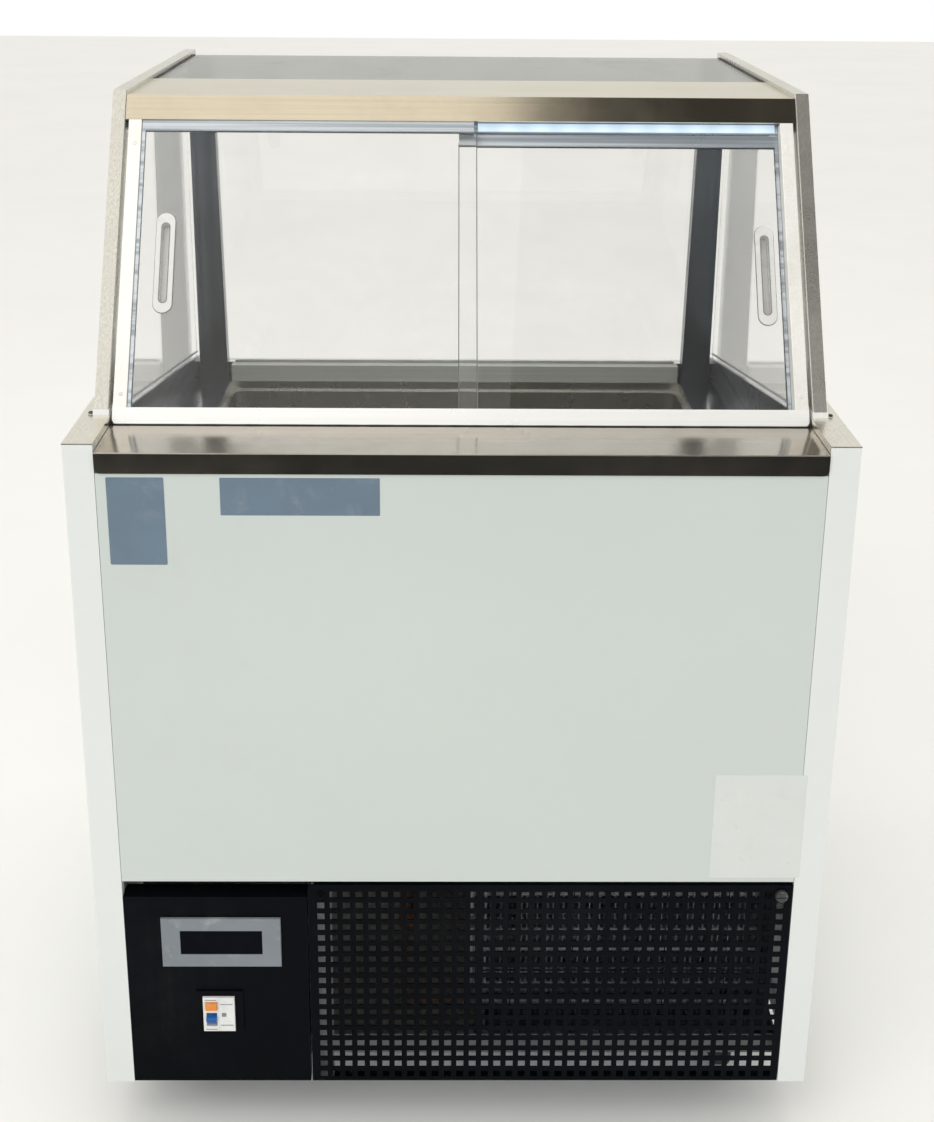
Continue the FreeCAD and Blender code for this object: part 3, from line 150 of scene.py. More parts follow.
def paint(name, colour, dirt, rough=(0.25, 0.4), peel=0.12, coat=0.25, dirt_from=0.52,
          spread=0.03, soil=1.0, gloss=0.5):
    """Powder-coated sheet: slight orange peel, uneven sheen, rubbed marks and dust."""
    m, t, shader, coord = new_material(name)
    tone = noise(t, coord, 3.2, 5, 0.55)
    low = tuple(c * (1 - spread) for c in colour)
    high = tuple(min(1, c * (1 + spread)) for c in colour)
    base = ramp(t, tone, [(0.3, low), (0.7, high)])
    marks = grime(t, coord, 5.0, dirt_from, 0.78)
    streaks = noise(t, stretched(t, coord, (60, 60, 2.5)), 1.0, 4, 0.5)
    marks = times(t, marks, span(t, streaks, 0.2 * soil, soil, 0.35, 0.7))
    t.links.new(mixed(t, marks, base, dirt), shader.inputs["Base Color"])
    t.links.new(span(t, noise(t, coord, 14, 6, 0.7), rough[0], rough[1]), shader.inputs["Roughness"])
    shader.inputs["Coat Weight"].default_value = coat
    shader.inputs["Coat Roughness"].default_value = 0.18
    shader.inputs["Specular IOR Level"].default_value = gloss
    waves = bumped(t, shader, noise(t, coord, 2.3, 2, 0.4), 0.25, 0.004)
    bumped(t, shader, noise(t, coord, 420, 3, 0.5), peel, 0.0004, waves)
    return m


def steel(name, colour, grain_axis="X", rough=(0.2, 0.36), grain=0.16, spread=0.08,
          smear=(0.4, 0.36, 0.3), wave=0.2, metal=1.0, reflection_bands=0.0):
    """Brushed metal: long fine grain, smears, a slightly wavy sheet and, when asked for, broad dark and
    light bluish stripes of painted reflection.
    """
    m, t, shader, coord = new_material(name)
    stretch = {"X": (3, 500, 500), "Y": (500, 3, 500), "Z": (500, 500, 3)}[grain_axis]
    lines = noise(t, stretched(t, coord, stretch), 1.0, 5, 0.6)
    low = tuple(c * (1 - spread) for c in colour)
    high = tuple(min(1, c * (1 + spread)) for c in colour)
    base = ramp(t, lines, [(0.28, low), (0.72, high)])
    base = mixed(t, grime(t, coord, 6, 0.5, 0.8), base, smear)
    # Painted reflection: broad stripes from dark to light bluish, standing in for reflected room and sky.
    if reflection_bands:
        wide = tuple(min(k, 150) if k > 3 else 1.2 for k in stretch)
        broad = noise(t, stretched(t, coord, wide), 1.0, 2, 0.5)
        painted_reflection = ramp(t, broad, [(0.38, (0.12, 0.15, 0.19)), (0.55, (0.8, 0.85, 0.9))])
        base = mixed(t, reflection_bands, base, painted_reflection)
    t.links.new(base, shader.inputs["Base Color"])
    patches = noise(t, coord, 7, 7, 0.7, 0.4)
    t.links.new(span(t, patches, rough[0], rough[1]), shader.inputs["Roughness"])
    shader.inputs["Metallic"].default_value = metal
    shader.inputs["Anisotropic"].default_value = 0.45
    waves = bumped(t, shader, noise(t, coord, 3.1, 2, 0.4), wave, 0.004)
    bumped(t, shader, lines, grain, 0.0002, waves)
    return m


def pane(name, tint, rough=0.01, smear=0.10, gloss=0.5):
    """Glass with faint wipe marks and dust specks."""
    m, t, shader, coord = new_material(name)
    wipe = noise(t, stretched(t, coord, (9, 5, 14), (0.3, 0.5, 0.2)), 1.0, 6, 0.65, 1.2)
    spots = noise(t, coord, 260, 2, 0.4)
    low = tuple(c * 0.97 for c in tint)
    t.links.new(ramp(t, wipe, [(0.35, tint), (0.75, low)]), shader.inputs["Base Color"])
    haze = times(t, span(t, wipe, 0, smear, 0.5, 0.8), span(t, spots, 0.3, 1.0, 0.4, 0.6))
    t.links.new(times(t, haze, rough, "ADD"), shader.inputs["Roughness"])
    shader.inputs["Transmission Weight"].default_value = 1.0
    shader.inputs["IOR"].default_value = 1.45
    shader.inputs["Specular IOR Level"].default_value = gloss
    bumped(t, shader, noise(t, coord, 1.7, 2, 0.4), 0.03, 0.002)
    return m


def plastic(name, colour, rough=(0.35, 0.55), grain=0.2, spread=0.06, dust=(0.5, 0.5, 0.48),
            coat=0.0, gloss=0.5):
    """Moulded plastic: fine texture, uneven sheen and dust."""
    m, t, shader, coord = new_material(name)
    tone = noise(t, coord, 22, 5, 0.6)
    low = tuple(c * (1 - spread) for c in colour)
    high = tuple(min(1, c * (1 + spread)) for c in colour)
    base = ramp(t, tone, [(0.3, low), (0.7, high)])
    t.links.new(mixed(t, grime(t, coord, 30, 0.55, 0.85), base, dust), shader.inputs["Base Color"])
    t.links.new(span(t, noise(t, coord, 60, 6, 0.7), rough[0], rough[1]), shader.inputs["Roughness"])
    shader.inputs["Coat Weight"].default_value = coat
    shader.inputs["Specular IOR Level"].default_value = gloss
    bumped(t, shader, noise(t, coord, 900, 3, 0.6), grain, 0.0002)
    return m


def glow(name, colour, strength):
    """Milky lens lit from behind, a little brighter over each diode."""
    m, t, shader, coord = new_material(name)
    wave = t.nodes.new("ShaderNodeTexWave")
    wave.inputs["Scale"].default_value = 9.0
    wave.inputs["Distortion"].default_value = 0.3
    wave.bands_direction = "X"
    t.links.new(coord, wave.inputs["Vector"])
    tone = ramp(t, wave.outputs["Fac"], [(0.0, tuple(c * 0.86 for c in colour)), (1.0, colour)])
    t.links.new(tone, shader.inputs["Base Color"])
    t.links.new(tone, shader.inputs["Emission Color"])
    shader.inputs["Emission Strength"].default_value = strength
    t.links.new(span(t, noise(t, coord, 80, 4, 0.6), 0.35, 0.5), shader.inputs["Roughness"])
    bumped(t, shader, noise(t, coord, 500, 2, 0.5), 0.1, 0.0002)
    return m


M = {
    "white": paint("white_enamel", (0.74, 0.775, 0.76), dirt=(0.62, 0.61, 0.56), rough=(0.3, 0.42),
            dirt_from=0.56, spread=0.012, soil=0.3, gloss=0.4),
    # Darker copy of the white enamel, colour and dirt both dimmed: painted shade on the operator panel.
    "panel": paint("white_enamel_painted_shade", (0.585, 0.64, 0.615), dirt=(0.5, 0.5, 0.46), rough=(0.3, 0.42),
            dirt_from=0.56, spread=0.012, soil=0.3, gloss=0.4),
    "black": paint("black_enamel", (0.0018, 0.0028, 0.0046), dirt=(0.018, 0.018, 0.019),
            rough=(0.36, 0.52), peel=0.3, coat=0.0, spread=0.4, soil=0.7, gloss=0.05),
    "grey": paint("grey_enamel", (0.2, 0.21, 0.22), dirt=(0.12, 0.11, 0.1), rough=(0.35, 0.55)),
    "motor": paint("motor_enamel", (0.012, 0.012, 0.014), dirt=(0.08, 0.07, 0.06), rough=(0.35, 0.6),
            peel=0.3, coat=0.1, spread=0.2),
    "steel_x": steel("stainless_long", (0.7, 0.66, 0.6), grain_axis="X"),
    "steel_y": steel("stainless_deep", (0.9, 0.87, 0.79), grain_axis="Y", smear=(0.78, 0.75, 0.67)),
    "mirror_x": steel("chamber_steel", (0.3, 0.31, 0.31), grain_axis="X", rough=(0.1, 0.22), grain=0.08,
            spread=0.1, smear=(0.25, 0.24, 0.22)),
    "mirror_y": steel("chamber_side_steel", (0.17, 0.195, 0.215), grain_axis="Y", rough=(0.16, 0.3),
            grain=0.14, spread=0.35, smear=(0.13, 0.135, 0.14), wave=0.2, metal=0.5, reflection_bands=0.16),
    "rim": steel("rim_steel", (0.85, 0.87, 0.82), grain_axis="X", rough=(0.3, 0.45), grain=0.14,
            spread=0.08, smear=(0.76, 0.77, 0.72), wave=0.2, metal=0.1),
    "tank": steel("tank_steel", (0.62, 0.61, 0.56), grain_axis="Z", rough=(0.2, 0.34), grain=0.1,
            spread=0.08, smear=(0.5, 0.48, 0.44), wave=0.1),
    "post": steel("post_steel", (0.052, 0.07, 0.09), grain_axis="Z", rough=(0.14, 0.28), grain=0.16,
            spread=0.4, smear=(0.05, 0.055, 0.06), wave=0.35, metal=0.8, reflection_bands=0.06),
    "zinc": steel("galvanised_sheet", (0.5, 0.52, 0.54), grain_axis="Y", rough=(0.35, 0.55), grain=0.1,
            spread=0.14, smear=(0.3, 0.28, 0.25)),
    # Bluish tone and broad stripes of this aluminium: painted sky reflection.
    "alu_x": steel("aluminium_painted_reflection", (0.58, 0.64, 0.7), grain_axis="X", rough=(0.26, 0.4), grain=0.2,
            spread=0.22, smear=(0.5, 0.53, 0.57), wave=0.05, metal=0.5, reflection_bands=0.45),
    "alu_z": steel("aluminium_leaning", (0.95, 0.94, 0.9), grain_axis="Z", rough=(0.3, 0.45),
            grain=0.14, spread=0.06, smear=(0.78, 0.76, 0.72), wave=0.1, metal=0.25),
    "sill": steel("aluminium_sill", (0.96, 0.965, 0.955), grain_axis="X", rough=(0.24, 0.38), grain=0.1,
            spread=0.03, smear=(0.92, 0.92, 0.9), wave=0.1, metal=0.15, reflection_bands=0.04),
    "rail": steel("brushed_rail", (0.76, 0.75, 0.69), grain_axis="Z", rough=(0.22, 0.36), grain=0.24,
            spread=0.13, smear=(0.65, 0.63, 0.57), wave=0.3, metal=0.85),
    "plate": plastic("pull_plate", (0.7, 0.7, 0.69), rough=(0.22, 0.36), grain=0.1, spread=0.05),
    "edge": plastic("pane_edge", (0.2, 0.22, 0.215), rough=(0.15, 0.3), grain=0.05, spread=0.1),
    "label": plastic("blank_plate", (0.14, 0.2, 0.265), rough=(0.35, 0.5), grain=0.12, spread=0.06,
            dust=(0.3, 0.33, 0.36)),
    "sheet": plastic("blank_sheet", (0.66, 0.7, 0.68), rough=(0.25, 0.4), grain=0.1, spread=0.02,
            dust=(0.6, 0.62, 0.6)),
    "fin": steel("fin_aluminium", (0.62, 0.64, 0.66), grain_axis="Z", rough=(0.3, 0.5), grain=0.2,
            spread=0.15, smear=(0.2, 0.19, 0.17)),
    "copper": steel("copper", (0.62, 0.33, 0.2), grain_axis="X", rough=(0.3, 0.5), grain=0.1,
            spread=0.15, smear=(0.2, 0.14, 0.1)),
    "glass": pane("clear_pane", (0.995, 0.999, 0.998), rough=0.003, smear=0.04, gloss=0.22),
    "tint": pane("tinted_pane", (0.24, 0.25, 0.235), rough=0.06, smear=0.2, gloss=0.42),
    "foam": plastic("foam", (0.75, 0.68, 0.45), rough=(0.8, 0.95), grain=0.9, spread=0.12),
    "white_plastic": plastic("white_moulding", (0.78, 0.79, 0.78), rough=(0.3, 0.45)),
    "grey_plastic": plastic("grey_moulding", (0.2, 0.225, 0.255), rough=(0.35, 0.5)),
    "knob": plastic("knob_moulding", (0.035, 0.037, 0.038), rough=(0.4, 0.55)),
    "black_plastic": plastic("black_moulding", (0.02, 0.02, 0.022), rough=(0.4, 0.6)),
    "display": plastic("display_lens", (0.002, 0.003, 0.006), rough=(0.1, 0.2), grain=0.02, spread=0.2,
            dust=(0.008, 0.008, 0.01), coat=0.0, gloss=0.04),
    "orange": plastic("orange_moulding", (0.8, 0.26, 0.02), rough=(0.3, 0.42)),
    "blue": plastic("blue_moulding", (0.02, 0.13, 0.42), rough=(0.3, 0.42)),
    "filter": plastic("filter_net", (0.015, 0.015, 0.017), rough=(0.7, 0.9), grain=0.6, spread=0.2,
            dust=(0.16, 0.15, 0.14)),
    "rubber": plastic("rubber", (0.018, 0.018, 0.02), rough=(0.6, 0.85), grain=0.5, spread=0.2,
            dust=(0.14, 0.13, 0.12)),
    "seal": plastic("dark_seal", (0.02, 0.021, 0.023), rough=(0.45, 0.65), grain=0.3, spread=0.2,
            dust=(0.1, 0.1, 0.1)),
    "silicone": plastic("clear_silicone", (0.55, 0.56, 0.55), rough=(0.3, 0.45), grain=0.1),
    "lens": glow("lamp_lens", (0.59, 0.73, 0.85), strength=0.58),
    "counter": steel("counter_steel", (0.54, 0.5, 0.44), grain_axis="X", rough=(0.1, 0.2), grain=0.12,
            spread=0.08, smear=(0.34, 0.31, 0.26), wave=0.3),
    "cover": steel("cover_steel", (0.8, 0.72, 0.57), grain_axis="X", rough=(0.11, 0.2), grain=0.14,
            spread=0.07, smear=(0.7, 0.62, 0.48), wave=0.25),
}

FINISH = {
    "base_frame": "zinc", "side_panels": "white", "side_caps": "steel_y", "operator_panel": "panel",
    "customer_panel": "white", "customer_vent_panel": "black", "counter_tray": "counter",
    "well_tank": "tank", "deck_plate": "mirror_x", "chamber_linings": "mirror_y", "front_rim": "rim",
    "insulation": "foam", "evaporator_coil": "copper", "compressor": "motor", "condenser": "fin",
    "fan_shroud": "zinc", "fan_motor": "motor", "condenser_fan": "fin", "air_filter": "filter",
    "refrigerant_pipes": "copper", "control_panel": "black", "display_bezel": "grey_plastic",
    "display_window": "display", "breaker_body": "white_plastic", "breaker_toggle": "blue",
    "breaker_test_button": "orange", "control_box": "grey", "grille_door": "black",
    "grille_hinges": "zinc", "grille_knob": "knob", "cord_inlet": "black_plastic",
    "side_frames": "rail", "side_glasses": "glass", "customer_glass": "glass", "top_glass": "tint",
    "top_cover": "cover", "front_posts": "post", "frame_feet": "white_plastic", "door_sill": "sill",
    "door_header": "alu_x", "door_jambs": "alu_z", "lamp_housing": "alu_x", "lamp_diffuser": "lens",
    "castor_plates": "zinc", "door_left_glass": "glass", "door_left_frame": "alu_x",
    "door_left_handle": "plate", "door_right_glass": "glass", "door_right_frame": "alu_x",
    "door_right_handle": "plate",
}
for node_name, obj in nodes.items():
    if node_name.startswith("castor_fork"):
        finish = "zinc"
    elif node_name.startswith("castor_wheel"):
        finish = "rubber"
    elif node_name.startswith("castor_brake"):
        finish = "grey_plastic"
    else:
        finish = FINISH[node_name]
    obj.data.materials.clear()
    obj.data.materials.append(M[finish])


# ============================================================== mesh helpers

LEAN = math.radians(31.5)
sill_low, sill_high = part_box("door_sill")


def hood(x, s, n):
    """Point s up the hood's sloping front and n behind it; sizes in millimetres, result in metres."""
    y = sill_low.y + (s * math.sin(LEAN) + n * math.cos(LEAN)) / 1000
    z = sill_low.z + (s * math.cos(LEAN) - n * math.sin(LEAN)) / 1000
    return Vector((x / 1000, y, z))


UP_HOOD = Vector((0, math.sin(LEAN), math.cos(LEAN)))
INTO_HOOD = Vector((0, math.cos(LEAN), -math.sin(LEAN)))


def piece(name, verts, faces, material, body, bevel=0.0, smooth=True, segments=2):
    """Mesh object that rides on a body, with optional rounded edges."""
    mesh = bpy.data.meshes.new(name)
    mesh.from_pydata([tuple(v) for v in verts], [], faces)
    bm = bmesh.new()
    bm.from_mesh(mesh)
    bmesh.ops.recalc_face_normals(bm, faces=bm.faces)
    bm.to_mesh(mesh)
    bm.free()
    for p in mesh.polygons:
        p.use_smooth = smooth
    mesh.materials.append(M[material])
    o = bpy.data.objects.new(name, mesh)
    bpy.context.scene.collection.objects.link(o)
    if bevel:
        b = o.modifiers.new("edge", "BEVEL")
        b.width = bevel
        b.segments = segments
        b.limit_method = "ANGLE"
    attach(o, body)
    return o


def wobble(k, seed):
    """Small repeatable unevenness between -1 and 1."""
    slow = 0.5 * math.sin(1.7 * k + seed)
    return slow + 0.3 * math.sin(4.1 * k + 2.3 * seed) + 0.2 * math.sin(9.7 * k + seed)


def tube_along(name, points, ring, material, body, uneven=0.0, closed=False):
    """Sweeps a closed ring of (u, v) offsets along points; the ring is given per point as two vectors."""
    verts, faces = [], []
    count = len(ring)
    for k, (place, u, v) in enumerate(points):
        grow = 1 + uneven * wobble(k, len(name))
        for a, b in ring:
            verts.append(place + u * a * grow + v * b * grow)
    runs = len(points) if closed else len(points) - 1
    for k in range(runs):
        after = (k + 1) % len(points)
        for i in range(count):
            j = (i + 1) % count
            faces.append((k * count + i, k * count + j, after * count + j, after * count + i))
    if not closed:
        faces.append(tuple(range(count)))
        faces.append(tuple(range((len(points) - 1) * count, len(points) * count)))
    return piece(name, verts, faces, material, body)


def bead(name, a, b, u, v, size, material, body="cabinet", uneven=0.1):
    """Run of sealant in the corner between directions u and v."""
    steps = max(6, int((b - a).length / 0.012))
    points = [(a.lerp(b, k / steps), u, v) for k in range(steps + 1)]
    corner = [(-0.00005, -0.00005), (size, -0.00005)]
    hollow = 0.62
    arc = [(size * (1 - hollow * math.sin(t)), size * (1 - hollow * math.cos(t)))
           for t in (0.35, 0.7, 1.05, 1.4)]
    corner += sorted(arc, key=lambda p: -p[0]) + [(-0.00005, size)]
    return tube_along(name, points, corner, material, body, uneven)


def round_bead(name, points, u, radius, material, body, closed=False):
    """Rounded wire along points; u is a direction across every run."""
    rows = []
    total = len(points)
    for k, p in enumerate(points):
        before = points[k - 1] if (k or closed) else p
        after = points[(k + 1) % total] if (k + 1 < total or closed) else p
        way = (after - before).normalized()
        side = way.cross(u).normalized()
        rows.append((p, u, side))
    ring = [(radius * math.cos(t * math.pi / 5), radius * math.sin(t * math.pi / 5))
            for t in range(10)]
    return tube_along(name, rows, ring, material, body, 0.0, closed)


def turned(name, centre, axis, profile, material, body, sides=40, dent=None):
    """Lathe-turned piece from (radius, height) pairs along axis, closed at both end points."""
    axis = axis.normalized()
    u = axis.orthogonal().normalized()
    v = axis.cross(u)
    verts, faces = [], []
    for r, h in profile:
        for k in range(sides):
            t = 2 * math.pi * k / sides
            x, y = r * math.cos(t), r * math.sin(t)
            drop = dent(x, y) if dent else 0
            verts.append(centre + u * x + v * y + axis * (h - drop))
    for row in range(len(profile) - 1):
        for k in range(sides):
            j = (k + 1) % sides
            faces.append((row * sides + k, row * sides + j,
                          (row + 1) * sides + j, (row + 1) * sides + k))
    faces.append(tuple(range(sides)))
    faces.append(tuple(range((len(profile) - 1) * sides, len(profile) * sides)))
    return piece(name, verts, faces, material, body)


def cross_screw(name, centre, axis, radius, height, material, body):
    """Domed screw head with a cross recess."""
    def cross(x, y):
        inside = math.hypot(x, y) < radius * 0.62 and min(abs(x), abs(y)) < radius * 0.16
        return height * 0.75 if inside else 0
    rows = [(radius * 0.96, -0.0002), (radius, height * 0.25)]
    for k in range(1, 14):
        r = radius * (1 - k / 13.2)
        rows.append((r, height * (0.25 + 0.75 * math.sqrt(1 - (r / radius) ** 2))))
    return turned(name, centre, axis, rows, material, body, 64, cross)


def hex_bolt(name, centre, axis, radius, height, material, body):
    """Hexagon head with a washer under it and a chamfered top."""
    axis = axis.normalized()
    u = axis.orthogonal().normalized()
    v = axis.cross(u)
    rows = [(radius * 1.35, 0, 24), (radius * 1.35, height * 0.18, 24), (radius, height * 0.2, 6),
            (radius, height * 0.88, 6), (radius * 0.86, height, 6)]
    verts, faces = [], []
    for r, h, corners in rows:
        for k in range(24):
            t = 2 * math.pi * k / 24
            reach = r
            if corners == 6:
                part = (t % (math.pi / 3)) - math.pi / 6
                reach = r * math.cos(math.pi / 6) / math.cos(part)
            verts.append(centre + (u * math.cos(t) + v * math.sin(t)) * reach + axis * h)
    for row in range(len(rows) - 1):
        for k in range(24):
            j = (k + 1) % 24
            faces.append((row * 24 + k, row * 24 + j, (row + 1) * 24 + j, (row + 1) * 24 + k))
    faces.append(tuple(range(24)))
    faces.append(tuple(range(len(verts) - 24, len(verts))))
    return piece(name, verts, faces, material, body, smooth=False)


def blocks(name, boxes, origin, axes, material, body, bevel=0.0004):
    """Several boxes in one piece; each is (low, high) in millimetres along three axes from origin."""
    verts, faces = [], []
    for low, high in boxes:
        start = len(verts)
        for i in (0, 1):
            for j in (0, 1):
                for k in (0, 1):
                    corner = ((low, high)[i][0], (low, high)[j][1], (low, high)[k][2])
                    verts.append(origin + sum((a * c / 1000 for a, c in zip(axes, corner)), Vector()))
        for f in ((0, 1, 3, 2), (4, 6, 7, 5), (0, 4, 5, 1), (2, 3, 7, 6), (0, 2, 6, 4), (1, 5, 7, 3)):
            faces.append(tuple(start + i for i in f))
    return piece(name, verts, faces, material, body, bevel, False)


# ============================================================== sealant and glazing

SEALANT_HALF_RUN = 325 * MM     # customer pane's sealant, from the middle to each end
SIDE_PANE = 381 * MM            # inner face of a side pane, from the middle
SIDE_PANE_THICK = 5 * MM
SIDE_START = 30 * MM            # a side pane's sealant begins this far behind the pane's front
SHOULDER_SLOPE = 0.172          # fall of the side panes' lower edge towards the customer
SINK = 0.5 * MM                 # sealant begins this far below the lining's top
GASKET_IN = 1.2 * MM            # top pane's gasket, in from the pane's edge
TAPE_IN = 12.5 * MM             # tape under the top pane, in from its gasket
TAPE_DROP = 0.4 * MM
STRIP_HALF_RUN = 369 * MM       # dark bead between the top cover and the top pane, a painted shadow line under the cover's rear edge


def straight(a, b, steps):
    """Evenly spaced points from a to b."""
    return [Vector(a).lerp(Vector(b), k / steps) for k in range(steps + 1)]


bead("sill_sealant", Vector((sill_low.x, sill_low.y, sill_low.z)),
     Vector((sill_high.x, sill_low.y, sill_low.z)), -Y, Z, 1.3 * MM, "seal")
rim_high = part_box("front_rim")[1]
pane_low, pane_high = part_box("customer_glass")
for tag, edge, way in (("inside", pane_low.y, -Y), ("outside", pane_high.y, Y)):
    bead("customer_pane_sealant_" + tag, Vector((-SEALANT_HALF_RUN, edge, rim_high.z)),
         Vector((SEALANT_HALF_RUN, edge, rim_high.z)), way, Z, 2.2 * MM, "silicone")
side_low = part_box("side_glasses")[0]
line_low, line_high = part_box("chamber_linings")
for side in (-1, 1):
    near = Vector((side * SIDE_PANE, side_low.y + SIDE_START,
                   line_high.z - SHOULDER_SLOPE * SIDE_START - SINK))
    far = Vector((side * SIDE_PANE, pane_low.y - 2 * MM,
                  line_high.z - SHOULDER_SLOPE * (pane_low.y - line_low.y) - SINK))
    bead("side_pane_sealant_in_%d" % side, near, far, X * -side, Z, 1.7 * MM, "silicone")
    out = Vector((side * SIDE_PANE_THICK, 0, 0))
    bead("side_pane_sealant_out_%d" % side, near + out, far + out, X * side, Z, 1.4 * MM, "silicone")

top_low, top_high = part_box("top_glass")
cover_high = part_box("top_cover")[1]
for side in (-1, 1):
    x = side * (top_high.x - GASKET_IN)
    gasket = straight((x, cover_high.y, top_high.z), (x, top_high.y, top_high.z), 24)
    round_bead("top_pane_gasket_%d" % side, gasket, X, 1.3 * MM, "seal", "cabinet")
    inner = x - side * TAPE_IN
    tape = straight((inner, cover_high.y - 10 * MM, top_low.z - TAPE_DROP),
                    (inner, top_high.y - 4 * MM, top_low.z - TAPE_DROP), 24)
    round_bead("top_pane_tape_%d" % side, tape, X, 0.9 * MM, "seal", "cabinet")
# Dark bead along the top cover's rear edge on the top pane: painted shadow line where the cover stands
# over the glass.
strip_y = cover_high.y + 0.6 * MM
front = straight((-STRIP_HALF_RUN, strip_y, top_high.z), (STRIP_HALF_RUN, strip_y, top_high.z), 40)
round_bead("top_strip_gasket", front, Y, 0.9 * MM, "seal", "cabinet")

# ============================================================== screws and small hardware

FOOT_SCREW = 390.2 * MM         # from the middle
GRILLE_SCREW = (-151.7 * MM, 325.5 * MM)    # across and up
JAMB_SCREW = 360                # from the middle, in millimetres
JAMB_SCREW_STEPS = (34, 318)    # up the hood, in millimetres

foot_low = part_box("frame_feet")[0]
for side in (-1, 1):
    place = Vector((side * FOOT_SCREW, foot_low.y + 3.6 * MM, foot_low.z + 1.2 * MM))
    cross_screw("foot_screw_%d" % side, place, Z, 2.9 * MM, 1.9 * MM, "black_plastic", "cabinet")
grille_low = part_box("grille_door")[0]
cross_screw("grille_corner_screw", Vector((GRILLE_SCREW[0], grille_low.y - 0.1 * MM, GRILLE_SCREW[1])),
            -Y, 4.6 * MM, 1.8 * MM, "black", "grille")
for side in (-1, 1):
    for s in JAMB_SCREW_STEPS:
        cross_screw("jamb_screw_%d_%d" % (side, s), hood(side * JAMB_SCREW, s, 0), -INTO_HOOD,
                    2.6 * MM, 1.0 * MM, "alu_z", "cabinet")

plug_boxes = [((0, 0, 0), (9, 7.4, 1.6)), ((1.2, 1.0, -0.5), (3.0, 6.4, 0.3)),
              ((5.0, 1.0, -0.5), (6.8, 6.4, 0.3))]
blocks("lamp_plug", plug_boxes, hood(3.4, 339.8, 11.2), (X, UP_HOOD, INTO_HOOD), "grey_plastic",
       "cabinet", 0.0004)


def obround(x, s, n, long, wide):
    """Closed path round a slot that lies on the hood's slope, in millimetres."""
    r = wide / 2
    straight = long / 2 - r
    path = []
    for centre, start in ((s + straight, 0), (s - straight, math.pi)):
        for k in range(13):
            t = start + math.pi * k / 12
            path.append(hood(x + r * math.cos(t), centre + r * math.sin(t), n))
    return path


WIRE = 0.45 * MM
SLOT_LONG, SLOT_WIDE = 90.9, 8.9
PULL_LONG, PULL_WIDE, PULL_BACK = 113.6, 20.6, 1.6
# Thin dark beads round the slot and the plate: the slot's rolled rim is real, but its dark colour and the
# plate's outline are painted shade lines.
for body, x, s, n in (("door_left", -321, 180, 1.3), ("door_right", 332, 173, 13.2)):
    rim = obround(x, s, n, SLOT_LONG, SLOT_WIDE)
    round_bead(body + "_pull_rim", rim, INTO_HOOD, WIRE, "edge", body, True)
    outline = obround(x, s, n + PULL_BACK, PULL_LONG, PULL_WIDE)
    round_bead(body + "_pull_edge", outline, INTO_HOOD, WIRE, "edge", body, True)

PANE_RUN = 320
PANE_STEPS = 30
for body, x, s, n in (("door_left", 16.7, 12, 3.5), ("door_right", -2.8, 6, 15.4)):
    for across in (0.3, 4.7):
        edge = [hood(x, s + PANE_RUN * k / PANE_STEPS, n + across) for k in range(PANE_STEPS + 1)]
        round_bead("%s_ground_edge_%d" % (body, across), edge, INTO_HOOD, 0.5 * MM, "edge", body)

panel_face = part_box("operator_panel")[0].y + 0.02 * MM


def corner_sheet(name, x0, x1, z0, z1, thick, radius, material):
    """Thin blank label with rounded corners, lying on the operator panel."""
    rows = []
    for cx, cz, start in ((x1, z1, 0), (x0, z1, 1), (x0, z0, 2), (x1, z0, 3)):
        sx, sz = (-1 if cx == x1 else 1), (-1 if cz == z1 else 1)
        for k in range(6):
            t = math.pi / 2 * (start + k / 5)
            rows.append((cx + sx * radius + radius * math.cos(t),
                         cz + sz * radius + radius * math.sin(t)))
    verts, faces = [], []
    count = len(rows)
    for y, inset in ((panel_face, 0), (panel_face - thick * 0.7, 0), (panel_face - thick, 0.25)):
        for px, pz in rows:
            qx = px + (inset if px < (x0 + x1) / 2 else -inset)
            qz = pz + (inset if pz < (z0 + z1) / 2 else -inset)
            verts.append(Vector((qx * MM, y, qz * MM)))
    for row in range(2):
        for i in range(count):
            j = (i + 1) % count
            faces.append((row * count + i, row * count + j, (row + 1) * count + j, (row + 1) * count + i))
    faces.append(tuple(range(count)))
    faces.append(tuple(range(2 * count, 3 * count)))
    return piece(name, verts, faces, material, "cabinet", smooth=False)


corner_sheet("blank_plate", -358, -300, 719.5, 814.5, 0.4 * MM, 1.5, "label")
corner_sheet("blank_strip", -244, -83, 774, 814.5, 0.3 * MM, 0.8, "label")
corner_sheet("blank_sheet", 275, 374, 348, 476, 0.2 * MM, 2.0, "sheet")

TOGGLE_RIBS_LOW = 164.1 * MM
BREAKER_LOW = 148.5 * MM
RIB_PITCH = 1.2
toggle_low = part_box("breaker_toggle")[0]
ribs = [((0.6, 0, RIB_PITCH * k), (11.0, 0.35, RIB_PITCH * k + 0.5)) for k in range(4)]
blocks("toggle_ribs", ribs, Vector((toggle_low.x, toggle_low.y - 0.3 * MM, TOGGLE_RIBS_LOW)), (X, Y, Z),
       "blue", "toggle", 0.00008)
body_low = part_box("breaker_body")[0]
raised = [((19.5, -0.25, 8), (33.5, 0.1, 9)), ((19.5, -0.25, 36), (33.5, 0.1, 36.8)),
          ((21, -0.3, 20), (26, 0.1, 25)), ((2.5, -0.25, 2.5), (15.5, 0.1, 3.3)),
          ((2.5, -0.25, 41.6), (15.5, 0.1, 42.4))]
blocks("breaker_details", raised, Vector((body_low.x, body_low.y, BREAKER_LOW)), (X, Y, Z),
       "grey_plastic", "cabinet", 0.00006)

WELL_FLOOR = 405 * MM
tank_low, tank_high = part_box("well_tank")
drain = Vector((0, (tank_low.y + tank_high.y) / 2, WELL_FLOOR))
flange = [(0.024, 0.0), (0.024, 0.0008), (0.022, 0.0016), (0.012, 0.0014), (0.0106, -0.001)]
turned("drain_flange", drain, Z, flange, "steel_x", "cabinet", 56)


